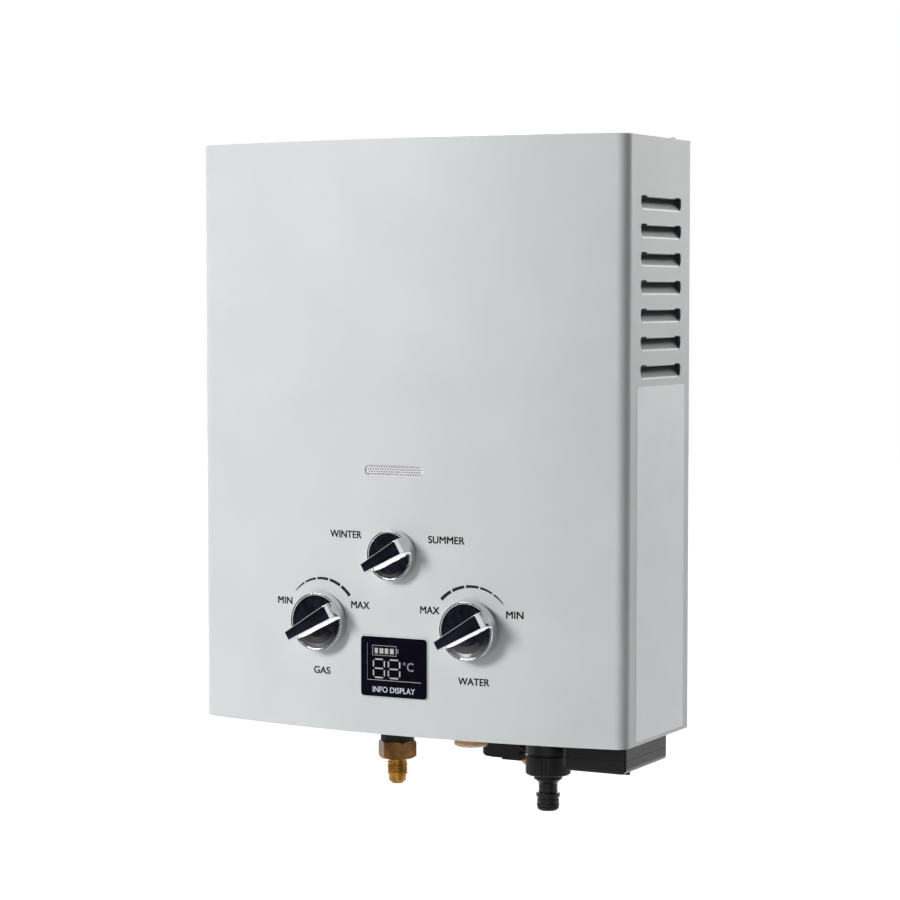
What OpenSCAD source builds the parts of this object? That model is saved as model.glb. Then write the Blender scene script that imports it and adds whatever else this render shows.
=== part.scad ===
// Wall-hung gas water heater for camping use: a bowed sheet-metal cover over a burner, a finned
// copper heat exchanger, a linked gas and water valve and a battery box, with all pipes at the base.
// X runs to the right, Y to the back and Z up. The origin is at the hanging hole in the back plate.

/* [Case] */
// Width of the cover
case_w = 340; // [330:1:410]
// Height of the cover
case_h = 420; // [400:1:505]
// Depth of the straight sides
case_d = 110; // [106:1:132]
// How far the front bows out beyond the sides
bow = 19; // [12:0.5:26]
// Radius of the upright front corners
corner_r = 9; // [8.5:0.5:12]
// Thickness of the cover's sheet
sheet = 1; // [0.8:0.1:1.2]
// Thickness of the inner plates
plate_t = 1.2; // [1:0.1:1.6]
// Width of the turned-in rims at the cover's top and bottom
rim_w = 8; // [6:0.5:8]
// Gap between a plate and the cover round it
fit = 0.3; // [0.2:0.05:0.5]

/* [Hanging] */
// Height of the hanging hole above the cover's bottom edge
hang_z = 392; // [370:1:398]
// Radius of the hole that a screw head passes
hang_head_r = 5.5; // [4.5:0.1:6]
// Radius of the slot that holds the screw
hang_slot_r = 2.75; // [2:0.05:3]
// Length of the slot above the hole
hang_slot_len = 12; // [9:0.5:14]
// Distance between the two lower fixing holes
lower_hole_span = 240; // [180:1:280]
// Height of the lower fixing holes
lower_hole_z = 30; // [20:1:50]
// Radius of the lower fixing holes
lower_hole_r = 2.5; // [2:0.1:3]
// Left end of the raised lip on the back plate
lip_left = -39; // [-60:1:-30]
// Length of the raised lip
lip_len = 111; // [80:1:130]
// How far the lip rises above the cover
lip_up = 9.5; // [6:0.5:12]

/* [Louvres] */
// Louvres on each side
louvre_count = 7; // [3:1:8]
// Length of a louvre
louvre_len = 71; // [60:1:78]
// Height of a louvre
louvre_h = 9.4; // [8:0.1:11]
// Distance from one louvre to the next
louvre_pitch = 19.4; // [16:0.1:22]
// Top edge of the first louvre below the cover's top
louvre_top = 42; // [30:1:60]
// Gap from the back edge to the louvres
louvre_back = 16; // [15.5:0.5:22]
// How far a louvre is pressed in
louvre_in = 5; // [3:0.1:6]
// Radius of a louvre's lower corners
louvre_r = 6; // [4:0.5:7.5]

/* [Knobs] */
// Diameter of the gas and water knobs
knob_d = 42; // [35:0.5:46]
// Diameter of the season knob
season_d = 36; // [32:0.5:42]
// Distance of the gas and water knobs from the middle
knob_x = 60; // [57:0.5:64]
// Height of the gas and water knobs
knob_z = 78; // [74:0.5:82]
// Height of the season knob
season_z = 128; // [125:0.5:130]
// Height of a knob's skirt
knob_skirt = 7; // [5:0.5:9]
// Height of the grip above the knob's face
grip_h = 11.5; // [8:0.5:14]
// Width of the grip at its pointer end
grip_wide = 11.5; // [9:0.5:13]
// Width of the grip at its tail
grip_narrow = 7; // [5:0.5:8]
// Radius of the rounded nose of the grip
nose_r = 6; // [3:0.5:8]
// Angle of the pointer above the horizontal
pointer_a = 30; // [0:1:60]
// Gap between a knob and the panel
knob_gap = 0.6; // [0.4:0.1:1]
// Radius of the hub behind each knob
hub_r = 8; // [7:0.1:8.5]
// Radius of the valve spindles
spindle_r = 4; // [3:0.1:4.5]
// Running clearance on the spindles, rod and pins
running = 0.05; // [0.02:0.01:0.08]

/* [Display] */
// Width of the display window
display_w = 54.4; // [44:0.1:56]
// Height of the display window
display_h = 43.9; // [36:0.1:46]
// Height of the window's centre
display_z = 48.3; // [46:0.5:50]
// Corner radius of the window
display_r = 3.2; // [1.5:0.1:4]
// Thickness of the window
lens_t = 2.4; // [2:0.1:3]
// Depth of the frame behind the window
frame_deep = 8.5; // [7:0.5:9.5]

/* [Sight slot] */
// Length of the flame sight slot
sight_w = 47; // [38:0.5:54]
// Height of the slot
sight_h = 7.6; // [6:0.1:10]
// Height of the slot's centre
sight_z = 187.4; // [186:0.2:190]
// Distance between the holes of the mesh
mesh_pitch = 2; // [1.9:0.05:2.6]
// Radius of a mesh hole
mesh_r = 0.65; // [0.4:0.05:0.75]
// Thickness of the mesh
mesh_t = 0.5; // [0.4:0.05:0.8]

/* [Fittings] */
// Depth of the pipe fittings behind the back plate's face, towards the front
fitting_y = -52; // [-54:0.5:-50]
// Gas inlet, from the middle
gas_x = -39.3; // [-42:0.1:-38]
// Hot water outlet, from the middle
outlet_x = 21.8; // [20:0.1:23]
// Cold water inlet, from the middle
inlet_x = 84; // [82:0.1:85]
// Width across the flats of the gas inlet's hexagon
gas_hex = 25; // [22:0.5:27]
// Turn of that hexagon about its axis
hex_turn = 15; // [0:1:59]
// Radius of the gas inlet's threaded end
gas_thread_r = 7.94; // [7:0.02:9]
// Length of the gas inlet below the case
gas_drop = 49.4; // [47:0.1:56]
// Radius of the water stubs
stub_r = 10.48; // [10:0.02:11]
// Radius of the inlet collar
collar_r = 16.3; // [15:0.1:17]
// Bottom of the inlet collar below the case
collar_drop = 32.6; // [30:0.1:36]
// Flutes round the collar
flute_count = 36; // [24:1:48]
// Radius of the hose spigot's locking ridge
spigot_r = 8.6; // [8.2:0.05:9]
// Length of the hose spigot below the collar
spigot_len = 26; // [24:0.5:30]
// Radius of the outlet's transit cap
cap_r = 12.4; // [11.6:0.1:13]
// Bottom of the transit cap below the case
cap_drop = 17; // [17:0.1:21]

/* [Battery box] */
// Diameter of a battery cell
cell_d = 33.4; // [27.8:0.1:34.2]
// Length of a battery cell
cell_len = 61.5; // [55:0.5:61.5]
// Middle of the box, from the middle of the case
battery_x = 137.7; // [137:0.1:138]
// Middle of the box in front of the back plate
battery_y = -54; // [-60:0.5:-53]
// Outer width of the box
battery_w = 47.8; // [42:0.1:48]
// Outer depth of the box, which holds the cells side by side
battery_d = 74.1; // [73:0.1:78]
// Wall of the box
battery_wall = 1.8; // [1.2:0.1:1.8]
// Radius of the box's upright edges
battery_r = 2.5; // [2:0.1:6]
// Bottom of the lid below the case
battery_drop = 21.3; // [20:0.1:26]
// Height of the lid
lid_h = 9.4; // [9:0.1:12]
// Radius of the lid's lower edge on the hinge's side
lid_r = 6; // [2:0.5:6]
// Radius of the lid's lower edge on the far side
lid_far = 4; // [2:0.5:6]
// Radius of the lid's front and back lower edges
lid_edge = 2; // [1.9:0.1:4]
// Radius of the hinge pins
pin_r = 1.25; // [1:0.05:1.4]

/* [Relief valve] */
// Middle of the valve, from the middle of the case
relief_x = 60; // [58:0.5:61]
// Middle of the valve in front of the back plate
relief_y = -28; // [-30:0.5:-26]
// Radius of the valve's body
relief_r = 9.5; // [8:0.1:10]
// Bottom of the valve below the case
relief_drop = 31; // [30:0.5:34]
// Reach of the lever from the valve's middle
lever_len = 40; // [34:0.5:44]
// Thickness of the lever
lever_t = 11.8; // [9:0.1:12.5]
// Width of the lever
lever_w = 13; // [10:0.5:15]

/* [Heat exchanger] */
// Width of the combustion chamber
chamber_w = 184; // [176:1:188]
// Depth of the combustion chamber
chamber_d = 79; // [77:0.5:82]
// Middle of the chamber in front of the back plate
chamber_y = -59; // [-60:0.5:-58]
// Bottom of the chamber
chamber_z = 205; // [202:0.5:208]
// Height of the chamber
chamber_h = 140; // [136:1:150]
// Thickness of the chamber's sheet
chamber_t = 1; // [0.8:0.1:1.2]
// Fins across the chamber
fin_count = 36; // [20:1:40]
// Thickness of a fin
fin_t = 0.5; // [0.4:0.1:0.8]
// Height of the fins
fin_h = 38; // [30:1:42]
// Tubes through the fins
tube_count = 5; // [5:2:5]
// Distance between the tubes
tube_pitch = 15.5; // [15:0.1:16]
// Height of the tubes
tube_z = 322; // [318:0.5:326]
// Radius of the water pipes
pipe_r = 6; // [5:0.1:6.2]
// Wall of the water pipes
pipe_wall = 0.8; // [0.6:0.1:1]
// Gap between the chamber and the pipe coiled round it
coil_gap = 1; // [0.6:0.1:1.5]
// Height of the coil's lower turn
coil_z = 225; // [222:0.5:230]
// Height from the lower turn to the upper turn
coil_rise = 37; // [32:0.5:40]

/* [Burner] */
// Burner bars side by side
bar_count = 8; // [5:1:8]
// Distance between the burner bars
bar_pitch = 21; // [19:0.5:21.5]
// Width of a burner bar
bar_w = 9; // [6:0.5:11]
// Top of the burner bars
bar_top = 180; // [178:0.5:182]
// Flame slots in a burner bar
bar_slots = 10; // [4:1:11]
// Bottom of the frame round the burner
frame_z = 163; // [162:0.5:166]

/* [Valves] */
// Middle of the two valves in front of the back plate
valve_y = -88; // [-89:0.5:-87]
// Depth of the valve bodies
valve_d = 40; // [36:0.5:41]
// Radius of the diaphragm chamber
diaphragm_r = 25; // [24:0.5:26]
// Thickness of the diaphragm
diaphragm_t = 1.2; // [0.8:0.1:1.6]
// Radius of the push rod
rod_r = 2; // [1.5:0.1:2.4]
// Travel of the push rod
rod_travel = 3; // [2:0.5:4]

/* [Hidden] */
$fn = 48;
half_w = case_w / 2;
bow_r = (half_w * half_w + bow * bow) / (2 * bow);
bow_cy = bow_r - case_d - bow;
corner_x = half_w - corner_r;
corner_y = bow_cy - sqrt(pow(bow_r - corner_r, 2) - corner_x * corner_x);
floor_z = sheet + plate_t;
roof_z = case_h - sheet;
screw_x = half_w - 9;
screw_y = -10;
screw_r = 2;
ear_w = 19;
ear_d = 14.5;
tube_y = [for (i = [0 : tube_count - 1]) chamber_y - (tube_count - 1) / 2 * tube_pitch + i * tube_pitch];
bend_r = tube_pitch / 2;
coil_off = coil_gap + pipe_r;
coil_x = chamber_w / 2 + coil_off + 2;
coil_front = chamber_y - chamber_d / 2 - coil_off;
coil_back = chamber_y + chamber_d / 2 + coil_off;
coil_out = coil_x + 11;
hot_x = chamber_w / 2 + 24;
cold_x = coil_x + 7;
cold_top = 150;
hot_join = 290;
hot_low = 137;
valve_front = valve_y - valve_d / 2;
valve_back = valve_y + valve_d / 2;
lid_z = lid_h - battery_drop;
hinge_x = battery_x - battery_w / 2 - pin_r - 1.1;
hinge_z = lid_z;
cell_z = lid_z + 3.2;
box_top = cell_z + cell_len + 6.2;
cell_off = battery_d / 2 - battery_wall - 0.4 - cell_d / 2;
cell_sides = [battery_y - cell_off, battery_y + cell_off];
rod_end = -42;
manifold_y = -109;
season_top = 142;
electrode_x = 42;
electrode_z = 192;
control_x = -132;
control_z = 60;
control_h = 68;
lead_x = [-122, -112];
flat_in = 1.2;
flat_len = 14;
mixer_z = bar_top - 29;
diaphragm_x = 20;
diaphragm_back = 11;
link_x = -45;
link_r = 6;
link_wall = 0.8;
cold_out = [88, valve_y, 98];
cold_elbow = 119;
nozzle_first = -(bar_count - 1) / 2 * bar_pitch;
pivot_x = relief_x - 4;
pivot_z = 9 - relief_drop;
lever_z = 3.6 - relief_drop;
lever_pin_r = 1.5;
fork_in = 10;
lens_front = -case_d - bow - 0.3;

// Depth of the bowed front face at a distance from the middle
function front_y(x) = bow_cy - sqrt(bow_r * bow_r - x * x);
function unit(v) = v / norm(v);
// Points of a run with its two ends drawn out
function drawn_out(p, more) = [for (i = [0 : len(p) - 1])
    i == 0 ? p[0] + more * unit(p[0] - p[1]) :
    i == len(p) - 1 ? p[i] + more * unit(p[i] - p[i - 1]) : p[i]];

// The origin lies at the hanging hole, and everything below is placed from the cover's bottom edge
module hung() {
    translate([0, 0, -hang_z]) children();
}

// Cylinder whose axis runs along a direction of the frame
module along(start, dir) {
    u = abs(dir.z) > 0.5 ? [1, 0, 0] : [0, 0, 1];
    v = cross(dir, u);
    multmatrix([
        [u.x, v.x, dir.x, start.x],
        [u.y, v.y, dir.y, start.y],
        [u.z, v.z, dir.z, start.z],
        [0, 0, 0, 1]
    ]) children();
}

// Solid bar of a pipe or lead along square runs, with a quarter bend at each corner
module run(p, r, bend) {
    last = len(p) - 1;
    for (i = [0 : last - 1]) {
        dir = unit(p[i + 1] - p[i]);
        before = i > 0 ? bend : 0;
        after = i < last - 1 ? bend : 0;
        length = norm(p[i + 1] - p[i]) - before - after;
        if (length > 0.01) along(p[i] + before * dir, dir) cylinder(h = length, r = r, $fn = 24);
    }
    for (i = [1 : 1 : last - 1]) {
        a = unit(p[i] - p[i - 1]);
        b = unit(p[i + 1] - p[i]);
        w = cross(a, b);
        c = p[i] + bend * (b - a);
        multmatrix([[-b.x, a.x, w.x, c.x], [-b.y, a.y, w.y, c.y], [-b.z, a.z, w.z, c.z], [0, 0, 0, 1]])
            rotate_extrude(angle = 90, $fn = 32) translate([bend, 0]) circle(r, $fn = 24);
    }
}

module pipe(p, r, wall, bend) {
    difference() {
        run(p, r, bend);
        run(drawn_out(p, 1), r - wall, bend);
    }
}

// Outline of the case seen from above, drawn in by a distance, and open or closed at the back
module plan(inset, back) {
    tangent_x = corner_x * (bow_r - inset) / (bow_r - corner_r);
    deep = case_d + bow + 1;
    intersection() {
        translate([0, bow_cy]) circle(bow_r - inset, $fn = 256);
        translate([-tangent_x, -deep]) square([2 * tangent_x, deep + corner_y]);
    }
    for (s = [-1, 1]) translate([s * corner_x, corner_y]) circle(corner_r - inset, $fn = 64);
    translate([inset - half_w, corner_y]) square([2 * (half_w - inset), -back - corner_y]);
}

module rounded(w, h, r) {
    translate([-w / 2 + r, -h / 2]) square([w - 2 * r, h]);
    translate([-w / 2, -h / 2 + r]) square([w, h - 2 * r]);
    for (x = [r - w / 2, w / 2 - r], y = [r - h / 2, h / 2 - r]) translate([x, y]) circle(r);
}

module slot(w, h) {
    square([w - h, h], center = true);
    for (s = [-1, 1]) translate([s * (w - h) / 2, 0]) circle(h / 2, $fn = 32);
}

// Shape drawn in the XZ plane and run towards the front from a depth
module from_front(y, deep) {
    translate([0, y, 0]) rotate([90, 0, 0]) translate([0, 0, -deep]) linear_extrude(deep) children();
}

// ---- Cover and plates ----

// Face of a louvre, straight along its open top edge and round at its lower corners
module louvre_face(grow) {
    translate([louvre_r, -grow]) square([louvre_len - 2 * louvre_r, louvre_h + grow]);
    translate([-grow, louvre_r]) square([louvre_len + 2 * grow, louvre_h - louvre_r]);
    for (x = [louvre_r, louvre_len - louvre_r]) translate([x, louvre_r]) circle(louvre_r + grow, $fn = 32);
}

// Wedge between the cover's side and the slope of a louvre
module louvre_wedge(grow, low, deep, high, out) {
    intersection() {
        rotate([90, 0, 90]) translate([0, 0, -deep]) linear_extrude(deep + out) louvre_face(grow);
        rotate([90, 0, 0]) translate([0, 0, -louvre_len - sheet]) linear_extrude(louvre_len + 2 * sheet)
            polygon([[out, low], [0, low], [-deep, louvre_h - low], [-deep, high], [out, high]]);
    }
}

module louvres() {
    for (m = [0, 1], k = [0 : louvre_count - 1]) mirror([m, 0, 0])
        translate([half_w, -louvre_back - louvre_len, case_h - louvre_top - louvre_h - k * louvre_pitch])
            children();
}

// Cut through the bowed front at a height, with an outline drawn in the XZ plane
module front_cut(x, z) {
    translate([x, 0, z]) from_front(-case_d - bow - 5, bow + 15) children();
}

module front_cover() color("gainsboro") {
    difference() {
        union() {
            difference() {
                linear_extrude(case_h) plan(0, 0);
                translate([0, 0, sheet]) linear_extrude(case_h - 2 * sheet) plan(sheet, -1);
                translate([0, 0, -1]) linear_extrude(case_h + 2) plan(rim_w, -1);
            }
            louvres() louvre_wedge(sheet, 0, louvre_in + sheet, louvre_h, 0);
            for (z = [0, roof_z], m = [0, 1]) mirror([m, 0, 0]) translate([half_w - ear_w, -ear_d - 1, z])
                cube([ear_w - sheet / 2, ear_d, sheet]);
        }
        louvres() louvre_wedge(0, sheet * 0.6, louvre_in, louvre_h + 1, 1);
        for (x = [-screw_x, screw_x]) translate([x, screw_y, -1]) cylinder(h = case_h + 2, r = screw_r + 0.2);
        for (x = [-knob_x, knob_x]) front_cut(x, knob_z) circle(hub_r + 1.5);
        front_cut(0, season_z) circle(hub_r + 1.5);
        front_cut(0, display_z) rounded(display_w + fit, display_h + fit, display_r);
        front_cut(0, sight_z) slot(sight_w, sight_h);
    }
}

module back_plate() color("darkgray") {
    wide = half_w - sheet - fit;
    low = floor_z + fit;
    difference() {
        union() {
            translate([-wide, -plate_t, low]) cube([2 * wide, plate_t, roof_z - fit - low]);
            translate([lip_left, -plate_t, roof_z - 40]) cube([lip_len, plate_t, 40 + sheet + lip_up]);
            for (m = [0, 1]) mirror([m, 0, 0]) translate([wide - plate_t, -louvre_back + 1, low])
                cube([plate_t, louvre_back - 1, roof_z - plate_t - fit - low]);
        }
        translate([0, 1, hang_z]) rotate([90, 0, 0]) cylinder(h = plate_t + 2, r = hang_head_r);
        translate([-hang_slot_r, -plate_t - 1, hang_z]) cube([2 * hang_slot_r, plate_t + 2, hang_slot_len]);
        translate([0, 1, hang_z + hang_slot_len]) rotate([90, 0, 0]) cylinder(h = plate_t + 2, r = hang_slot_r);
        for (s = [-1, 1]) translate([s * lower_hole_span / 2, 1, lower_hole_z]) rotate([90, 0, 0])
            cylinder(h = plate_t + 2, r = lower_hole_r);
    }
}

module bottom_plate() color("silver") {
    difference() {
        translate([0, 0, sheet]) linear_extrude(plate_t) plan(sheet + fit, 0);
        translate([gas_x, fitting_y, 0]) cylinder(h = 5, r = 12);
        translate([outlet_x, fitting_y, 0]) cylinder(h = 5, r = stub_r + 0.5);
        translate([inlet_x, fitting_y, 0]) cylinder(h = 5, r = stub_r + 0.5);
        translate([relief_x, relief_y, 0]) cylinder(h = 5, r = relief_r + 0.5);
        translate([battery_x, battery_y, 0]) linear_extrude(5)
            rounded(battery_w + 2 * fit, battery_d + 2 * fit, battery_r + fit);
        for (s = [-1, 1]) translate([s * screw_x, screw_y, 0]) cylinder(h = 5, r = screw_r + 0.2);
        for (i = [0 : 5]) translate([-145 + i * 13, -70, 0]) linear_extrude(5) rotate(90) slot(56, 5);
    }
}

module top_panel() color("gainsboro") {
    difference() {
        translate([0, 0, roof_z - plate_t]) linear_extrude(plate_t) plan(sheet + fit, plate_t + fit);
        for (i = [-4 : 4]) translate([i * 17, chamber_y, roof_z - 5]) linear_extrude(10) rotate(90) slot(58, 8);
        for (s = [-1, 1]) translate([s * screw_x, screw_y, roof_z - 5]) cylinder(h = 10, r = screw_r + 0.2);
    }
}

module cover_screws() color("dimgray") {
    for (x = [-screw_x, screw_x]) {
        translate([x, screw_y, 0]) pan_screw();
        translate([x, screw_y, case_h]) mirror([0, 0, 1]) pan_screw();
    }
}

// Screw with its head below the origin and its shank rising
module pan_screw() {
    head_r = 3.7;
    rotate_extrude() polygon([
        [0, -2.6], [head_r - 1.6, -2.4], [head_r - 0.4, -1.5], [head_r, 0], [screw_r, 0], [screw_r, 8], [0, 8]
    ]);
}

// ---- Heat exchanger ----

// Upright duct whose width and depth change from bottom to top
module duct(w1, d1, w2, d2, h) {
    intersection() {
        rotate([90, 0, 0]) translate([0, 0, -d1]) linear_extrude(2 * d1)
            polygon([[-w1 / 2, 0], [w1 / 2, 0], [w2 / 2, h], [-w2 / 2, h]]);
        rotate([90, 0, 90]) translate([0, 0, -w1]) linear_extrude(2 * w1)
            polygon([[-d1 / 2, 0], [d1 / 2, 0], [d2 / 2, h], [-d2 / 2, h]]);
    }
}

module flue_hood() color("lightgray") {
    z0 = chamber_z + chamber_h + fit;
    high = roof_z - plate_t - fit - z0;
    translate([0, chamber_y, z0]) difference() {
        union() {
            duct(chamber_w, chamber_d, chamber_w - 20, chamber_d - 9, high);
            translate([-chamber_w / 2 - 1, -chamber_d / 2 - 1, 0]) cube([chamber_w + 2, chamber_d + 2, 1.2]);
        }
        translate([0, 0, -0.1]) duct(chamber_w - 2, chamber_d - 2, chamber_w - 22, chamber_d - 11, high + 0.2);
    }
}

module chamber_shell() color("chocolate") {
    translate([0, chamber_y, chamber_z]) difference() {
        translate([-chamber_w / 2, -chamber_d / 2, 0]) cube([chamber_w, chamber_d, chamber_h]);
        translate([-chamber_w / 2 + chamber_t, -chamber_d / 2 + chamber_t, -1])
            cube([chamber_w - 2 * chamber_t, chamber_d - 2 * chamber_t, chamber_h + 2]);
        for (y = tube_y) translate([-chamber_w, y - chamber_y, tube_z - chamber_z]) rotate([0, 90, 0])
            cylinder(h = 2 * chamber_w, r = pipe_r + 0.1, $fn = 24);
    }
}

module fin_pack() color("peru") {
    inner = chamber_d - 2 * chamber_t - 2 * fit;
    span = chamber_w - 2 * chamber_t - 6;
    for (i = [0 : fin_count - 1]) translate([-span / 2 + i * (span - fin_t) / (fin_count - 1), 0, 0])
        rotate([90, 0, 90]) linear_extrude(fin_t) difference() {
            translate([chamber_y - inner / 2, tube_z - fin_h / 2]) square([inner, fin_h]);
            for (y = tube_y) translate([y, tube_z]) circle(pipe_r + 0.1, $fn = 24);
        }
}

// One unbroken tube: twice round the chamber, then to and fro through the fins
module exchanger_tube() color("peru") {
    turn = chamber_w / 2 + 2 + bend_r + pipe_r;
    z2 = coil_z + coil_rise;
    through = [for (i = [0 : tube_count - 1], e = [0, 1])
        [(i % 2 == e ? -1 : 1) * turn, tube_y[tube_count - 1 - i], tube_z]];
    points = concat(
        [
            [cold_x, coil_front, cold_top], [cold_x, coil_front, coil_z],
            [-coil_x, coil_front, coil_z], [-coil_x, coil_back, coil_z], [coil_x, coil_back, coil_z],
            [coil_x, coil_back, z2], [coil_x, coil_front, z2], [-coil_out, coil_front, z2],
            [-coil_out, tube_y[tube_count - 1], z2], [-coil_out, tube_y[tube_count - 1], tube_z]
        ],
        [for (i = [1 : len(through) - 2]) through[i]],
        [[hot_x, tube_y[0], tube_z], [hot_x, tube_y[0], hot_join]]
    );
    pipe(points, pipe_r, pipe_wall, bend_r);
}

module exchanger_brackets() color("silver") {
    deep = -chamber_y - chamber_d / 2 - plate_t;
    for (z = [172, 300], s = [-1, 1]) translate([s * 60 - 12, -plate_t - deep, z]) {
        cube([24, deep, plate_t]);
        cube([24, plate_t, 14]);
        translate([0, deep - plate_t, 0]) cube([24, plate_t, 14]);
    }
}

hot_run = [
    [hot_x, tube_y[0], hot_join], [hot_x, tube_y[0], hot_low], [hot_x, relief_y, hot_low],
    [outlet_x, relief_y, hot_low], [outlet_x, fitting_y, hot_low], [outlet_x, fitting_y, 12]
];
cold_run = [
    cold_out + [0, 0, 2], [cold_out.x, valve_y, cold_elbow], [cold_out.x, coil_front, cold_elbow],
    [cold_x, coil_front, cold_elbow], [cold_x, coil_front, cold_top]
];

module hot_pipe() color("peru") pipe(hot_run, pipe_r, pipe_wall, bend_r);

module cold_pipe() color("peru") pipe(cold_run, pipe_r, pipe_wall, bend_r);

module pipe_nuts() color("goldenrod") {
    for (p = [[hot_x, tube_y[0], hot_join], [cold_x, coil_front, cold_top]]) translate(p) difference() {
        union() {
            translate([0, 0, -7]) cylinder(h = 9, r = pipe_r + 3, $fn = 6);
            translate([0, 0, 2]) cylinder(h = 5, r = pipe_r + 1.8);
        }
        translate([0, 0, -8]) cylinder(h = 16, r = pipe_r + 0.1);
    }
}

module thermal_cutout() color("dimgray") {
    translate([hot_x, tube_y[0], 250]) {
        difference() {
            cylinder(h = 10, r = pipe_r + 1.1);
            translate([0, 0, -1]) cylinder(h = 12, r = pipe_r + 0.1);
        }
        translate([pipe_r + 0.8, 0, 5]) rotate([0, 90, 0]) {
            cylinder(h = 6, r = 8);
            cylinder(h = 10, r = 3);
        }
    }
}

// ---- Burner ----

module burner_frame() color("silver") {
    high = chamber_z - fit - frame_z;
    translate([0, chamber_y, frame_z]) difference() {
        translate([-chamber_w / 2, -chamber_d / 2, 0]) cube([chamber_w, chamber_d, high]);
        translate([-chamber_w / 2 + 1, -chamber_d / 2 + 1, -1]) cube([chamber_w - 2, chamber_d - 2, high + 2]);
        translate([-sight_w / 2, -chamber_d, sight_z - frame_z - 4]) cube([sight_w, chamber_d, 8]);
        for (s = [-1, 1]) translate([s * electrode_x, 0, electrode_z - frame_z]) rotate([90, 0, 0])
            cylinder(h = chamber_d, r = 4.1);
    }
}

// Side of a burner bar: a mixing tube that turns up into the flame rail
module bar_side() {
    front = chamber_y - chamber_d / 2 + 1 + fit;
    back = chamber_y + chamber_d / 2 - 1 - fit;
    rail = bar_top - 16;
    translate([front, rail]) square([back - front, 16]);
    translate([front, mixer_z - 6]) square([back - 20 - front, 12]);
    translate([back - 20, rail + 0.5]) intersection() {
        difference() {
            circle(rail + 0.5 - mixer_z + 6);
            circle(rail + 0.5 - mixer_z - 6);
        }
        translate([0, -30]) square([30, 30]);
    }
}

module burner_bars() color("lightsteelblue") {
    front = chamber_y - chamber_d / 2 + 1 + fit;
    slot_step = (chamber_d - 14) / (bar_slots - 1);
    for (i = [0 : bar_count - 1]) translate([nozzle_first + i * bar_pitch, 0, 0]) difference() {
        translate([-bar_w / 2, 0, 0]) rotate([90, 0, 90]) linear_extrude(bar_w) bar_side();
        for (k = [0 : bar_slots - 1])
            translate([-bar_w / 2 + 1.5, chamber_y - chamber_d / 2 + 6 + k * slot_step, bar_top - 5])
                cube([bar_w - 3, 1.6, 6]);
        translate([0, front - 1, mixer_z]) rotate([-90, 0, 0]) cylinder(h = 22, r = 3.3, $fn = 24);
    }
}

module gas_manifold() color("silver") {
    long = (bar_count - 1) * bar_pitch + 20;
    difference() {
        union() {
            translate([0, 0, mixer_z]) rotate([90, 0, 90]) translate([0, 0, -long / 2]) linear_extrude(long)
                translate([manifold_y, 0]) rounded(12, 12, 2);
            translate([0, manifold_y, season_top]) cylinder(h = mixer_z - season_top, r = 5.5);
        }
        translate([-long / 2 + 1, manifold_y - 4.8, mixer_z - 4.8]) cube([long - 2, 9.6, 9.6]);
        for (i = [0 : bar_count - 1]) translate([nozzle_first + i * bar_pitch, manifold_y, mixer_z])
            rotate([-90, 0, 0]) cylinder(h = 10, r = 2.1, $fn = 24);
    }
}

module gas_nozzles() color("goldenrod") {
    back = chamber_y - chamber_d / 2;
    deep = back + 5 - manifold_y - 6;
    for (i = [0 : bar_count - 1]) translate([nozzle_first + i * bar_pitch, manifold_y + 6, mixer_z])
        rotate([-90, 0, 0]) rotate_extrude($fn = 24)
            polygon([[0.5, -1.1], [2, -1.1], [2, 0], [4, 0], [4, 4], [2.6, 4.6], [2.4, deep], [0.5, deep]]);
}

// Igniter on the left and flame sensor on the right: a wire through a ceramic sleeve
module electrodes() color("whitesmoke") {
    wall = chamber_y - chamber_d / 2;
    for (s = [-1, 1]) translate([s * electrode_x, wall, electrode_z]) rotate([-90, 0, 0]) {
        difference() {
            union() {
                translate([0, 0, -12]) cylinder(h = 30, r = 3.2);
                translate([0, 0, -3.2]) cylinder(h = 3, r = 5.4, $fn = 6);
            }
            translate([0, 0, -13]) cylinder(h = 6, r = 1.2);
        }
        translate([0, 0, 18]) cylinder(h = 12, r = 1, $fn = 16);
    }
}

module electrode_leads() color("firebrick") {
    wall = chamber_y - chamber_d / 2;
    start = control_z + control_h + 2.3;
    run([
        [lead_x[0], -30, start], [lead_x[0], -30, 148], [lead_x[0], wall - 16, 148],
        [lead_x[0], wall - 16, electrode_z], [-electrode_x, wall - 16, electrode_z],
        [-electrode_x, wall - 8, electrode_z]
    ], 1.1, 3);
    run([
        [lead_x[1], -30, start], [lead_x[1], -30, 156], [lead_x[1], wall - 19, 156],
        [lead_x[1], wall - 19, 206], [electrode_x, wall - 19, 206], [electrode_x, wall - 19, electrode_z],
        [electrode_x, wall - 8, electrode_z]
    ], 1.1, 3);
}

// ---- Valves ----

module season_valve() color("silver") {
    difference() {
        union() {
            translate([0, -98, 112]) linear_extrude(season_top - 112) rounded(36, 34, 5);
            translate([0, -115, season_z]) rotate([90, 0, 0]) cylinder(h = 3, r = 9);
            translate([-20, valve_y, season_z]) rotate([0, 90, 0]) cylinder(h = 6, r = 9);
        }
        translate([0, -103, season_z]) rotate([90, 0, 0]) cylinder(h = 20, r = spindle_r + running);
        translate([-21, valve_y, season_z]) rotate([0, 90, 0]) cylinder(h = 10, r = link_r + 0.1);
        translate([0, manifold_y, season_top - 3]) cylinder(h = 5, r = 4.5);
    }
}

module gas_link_pipe() color("silver") {
    path = [[link_x, valve_y, 100], [link_x, valve_y, season_z], [-13, valve_y, season_z]];
    pipe(path, link_r, link_wall, bend_r);
}

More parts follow.
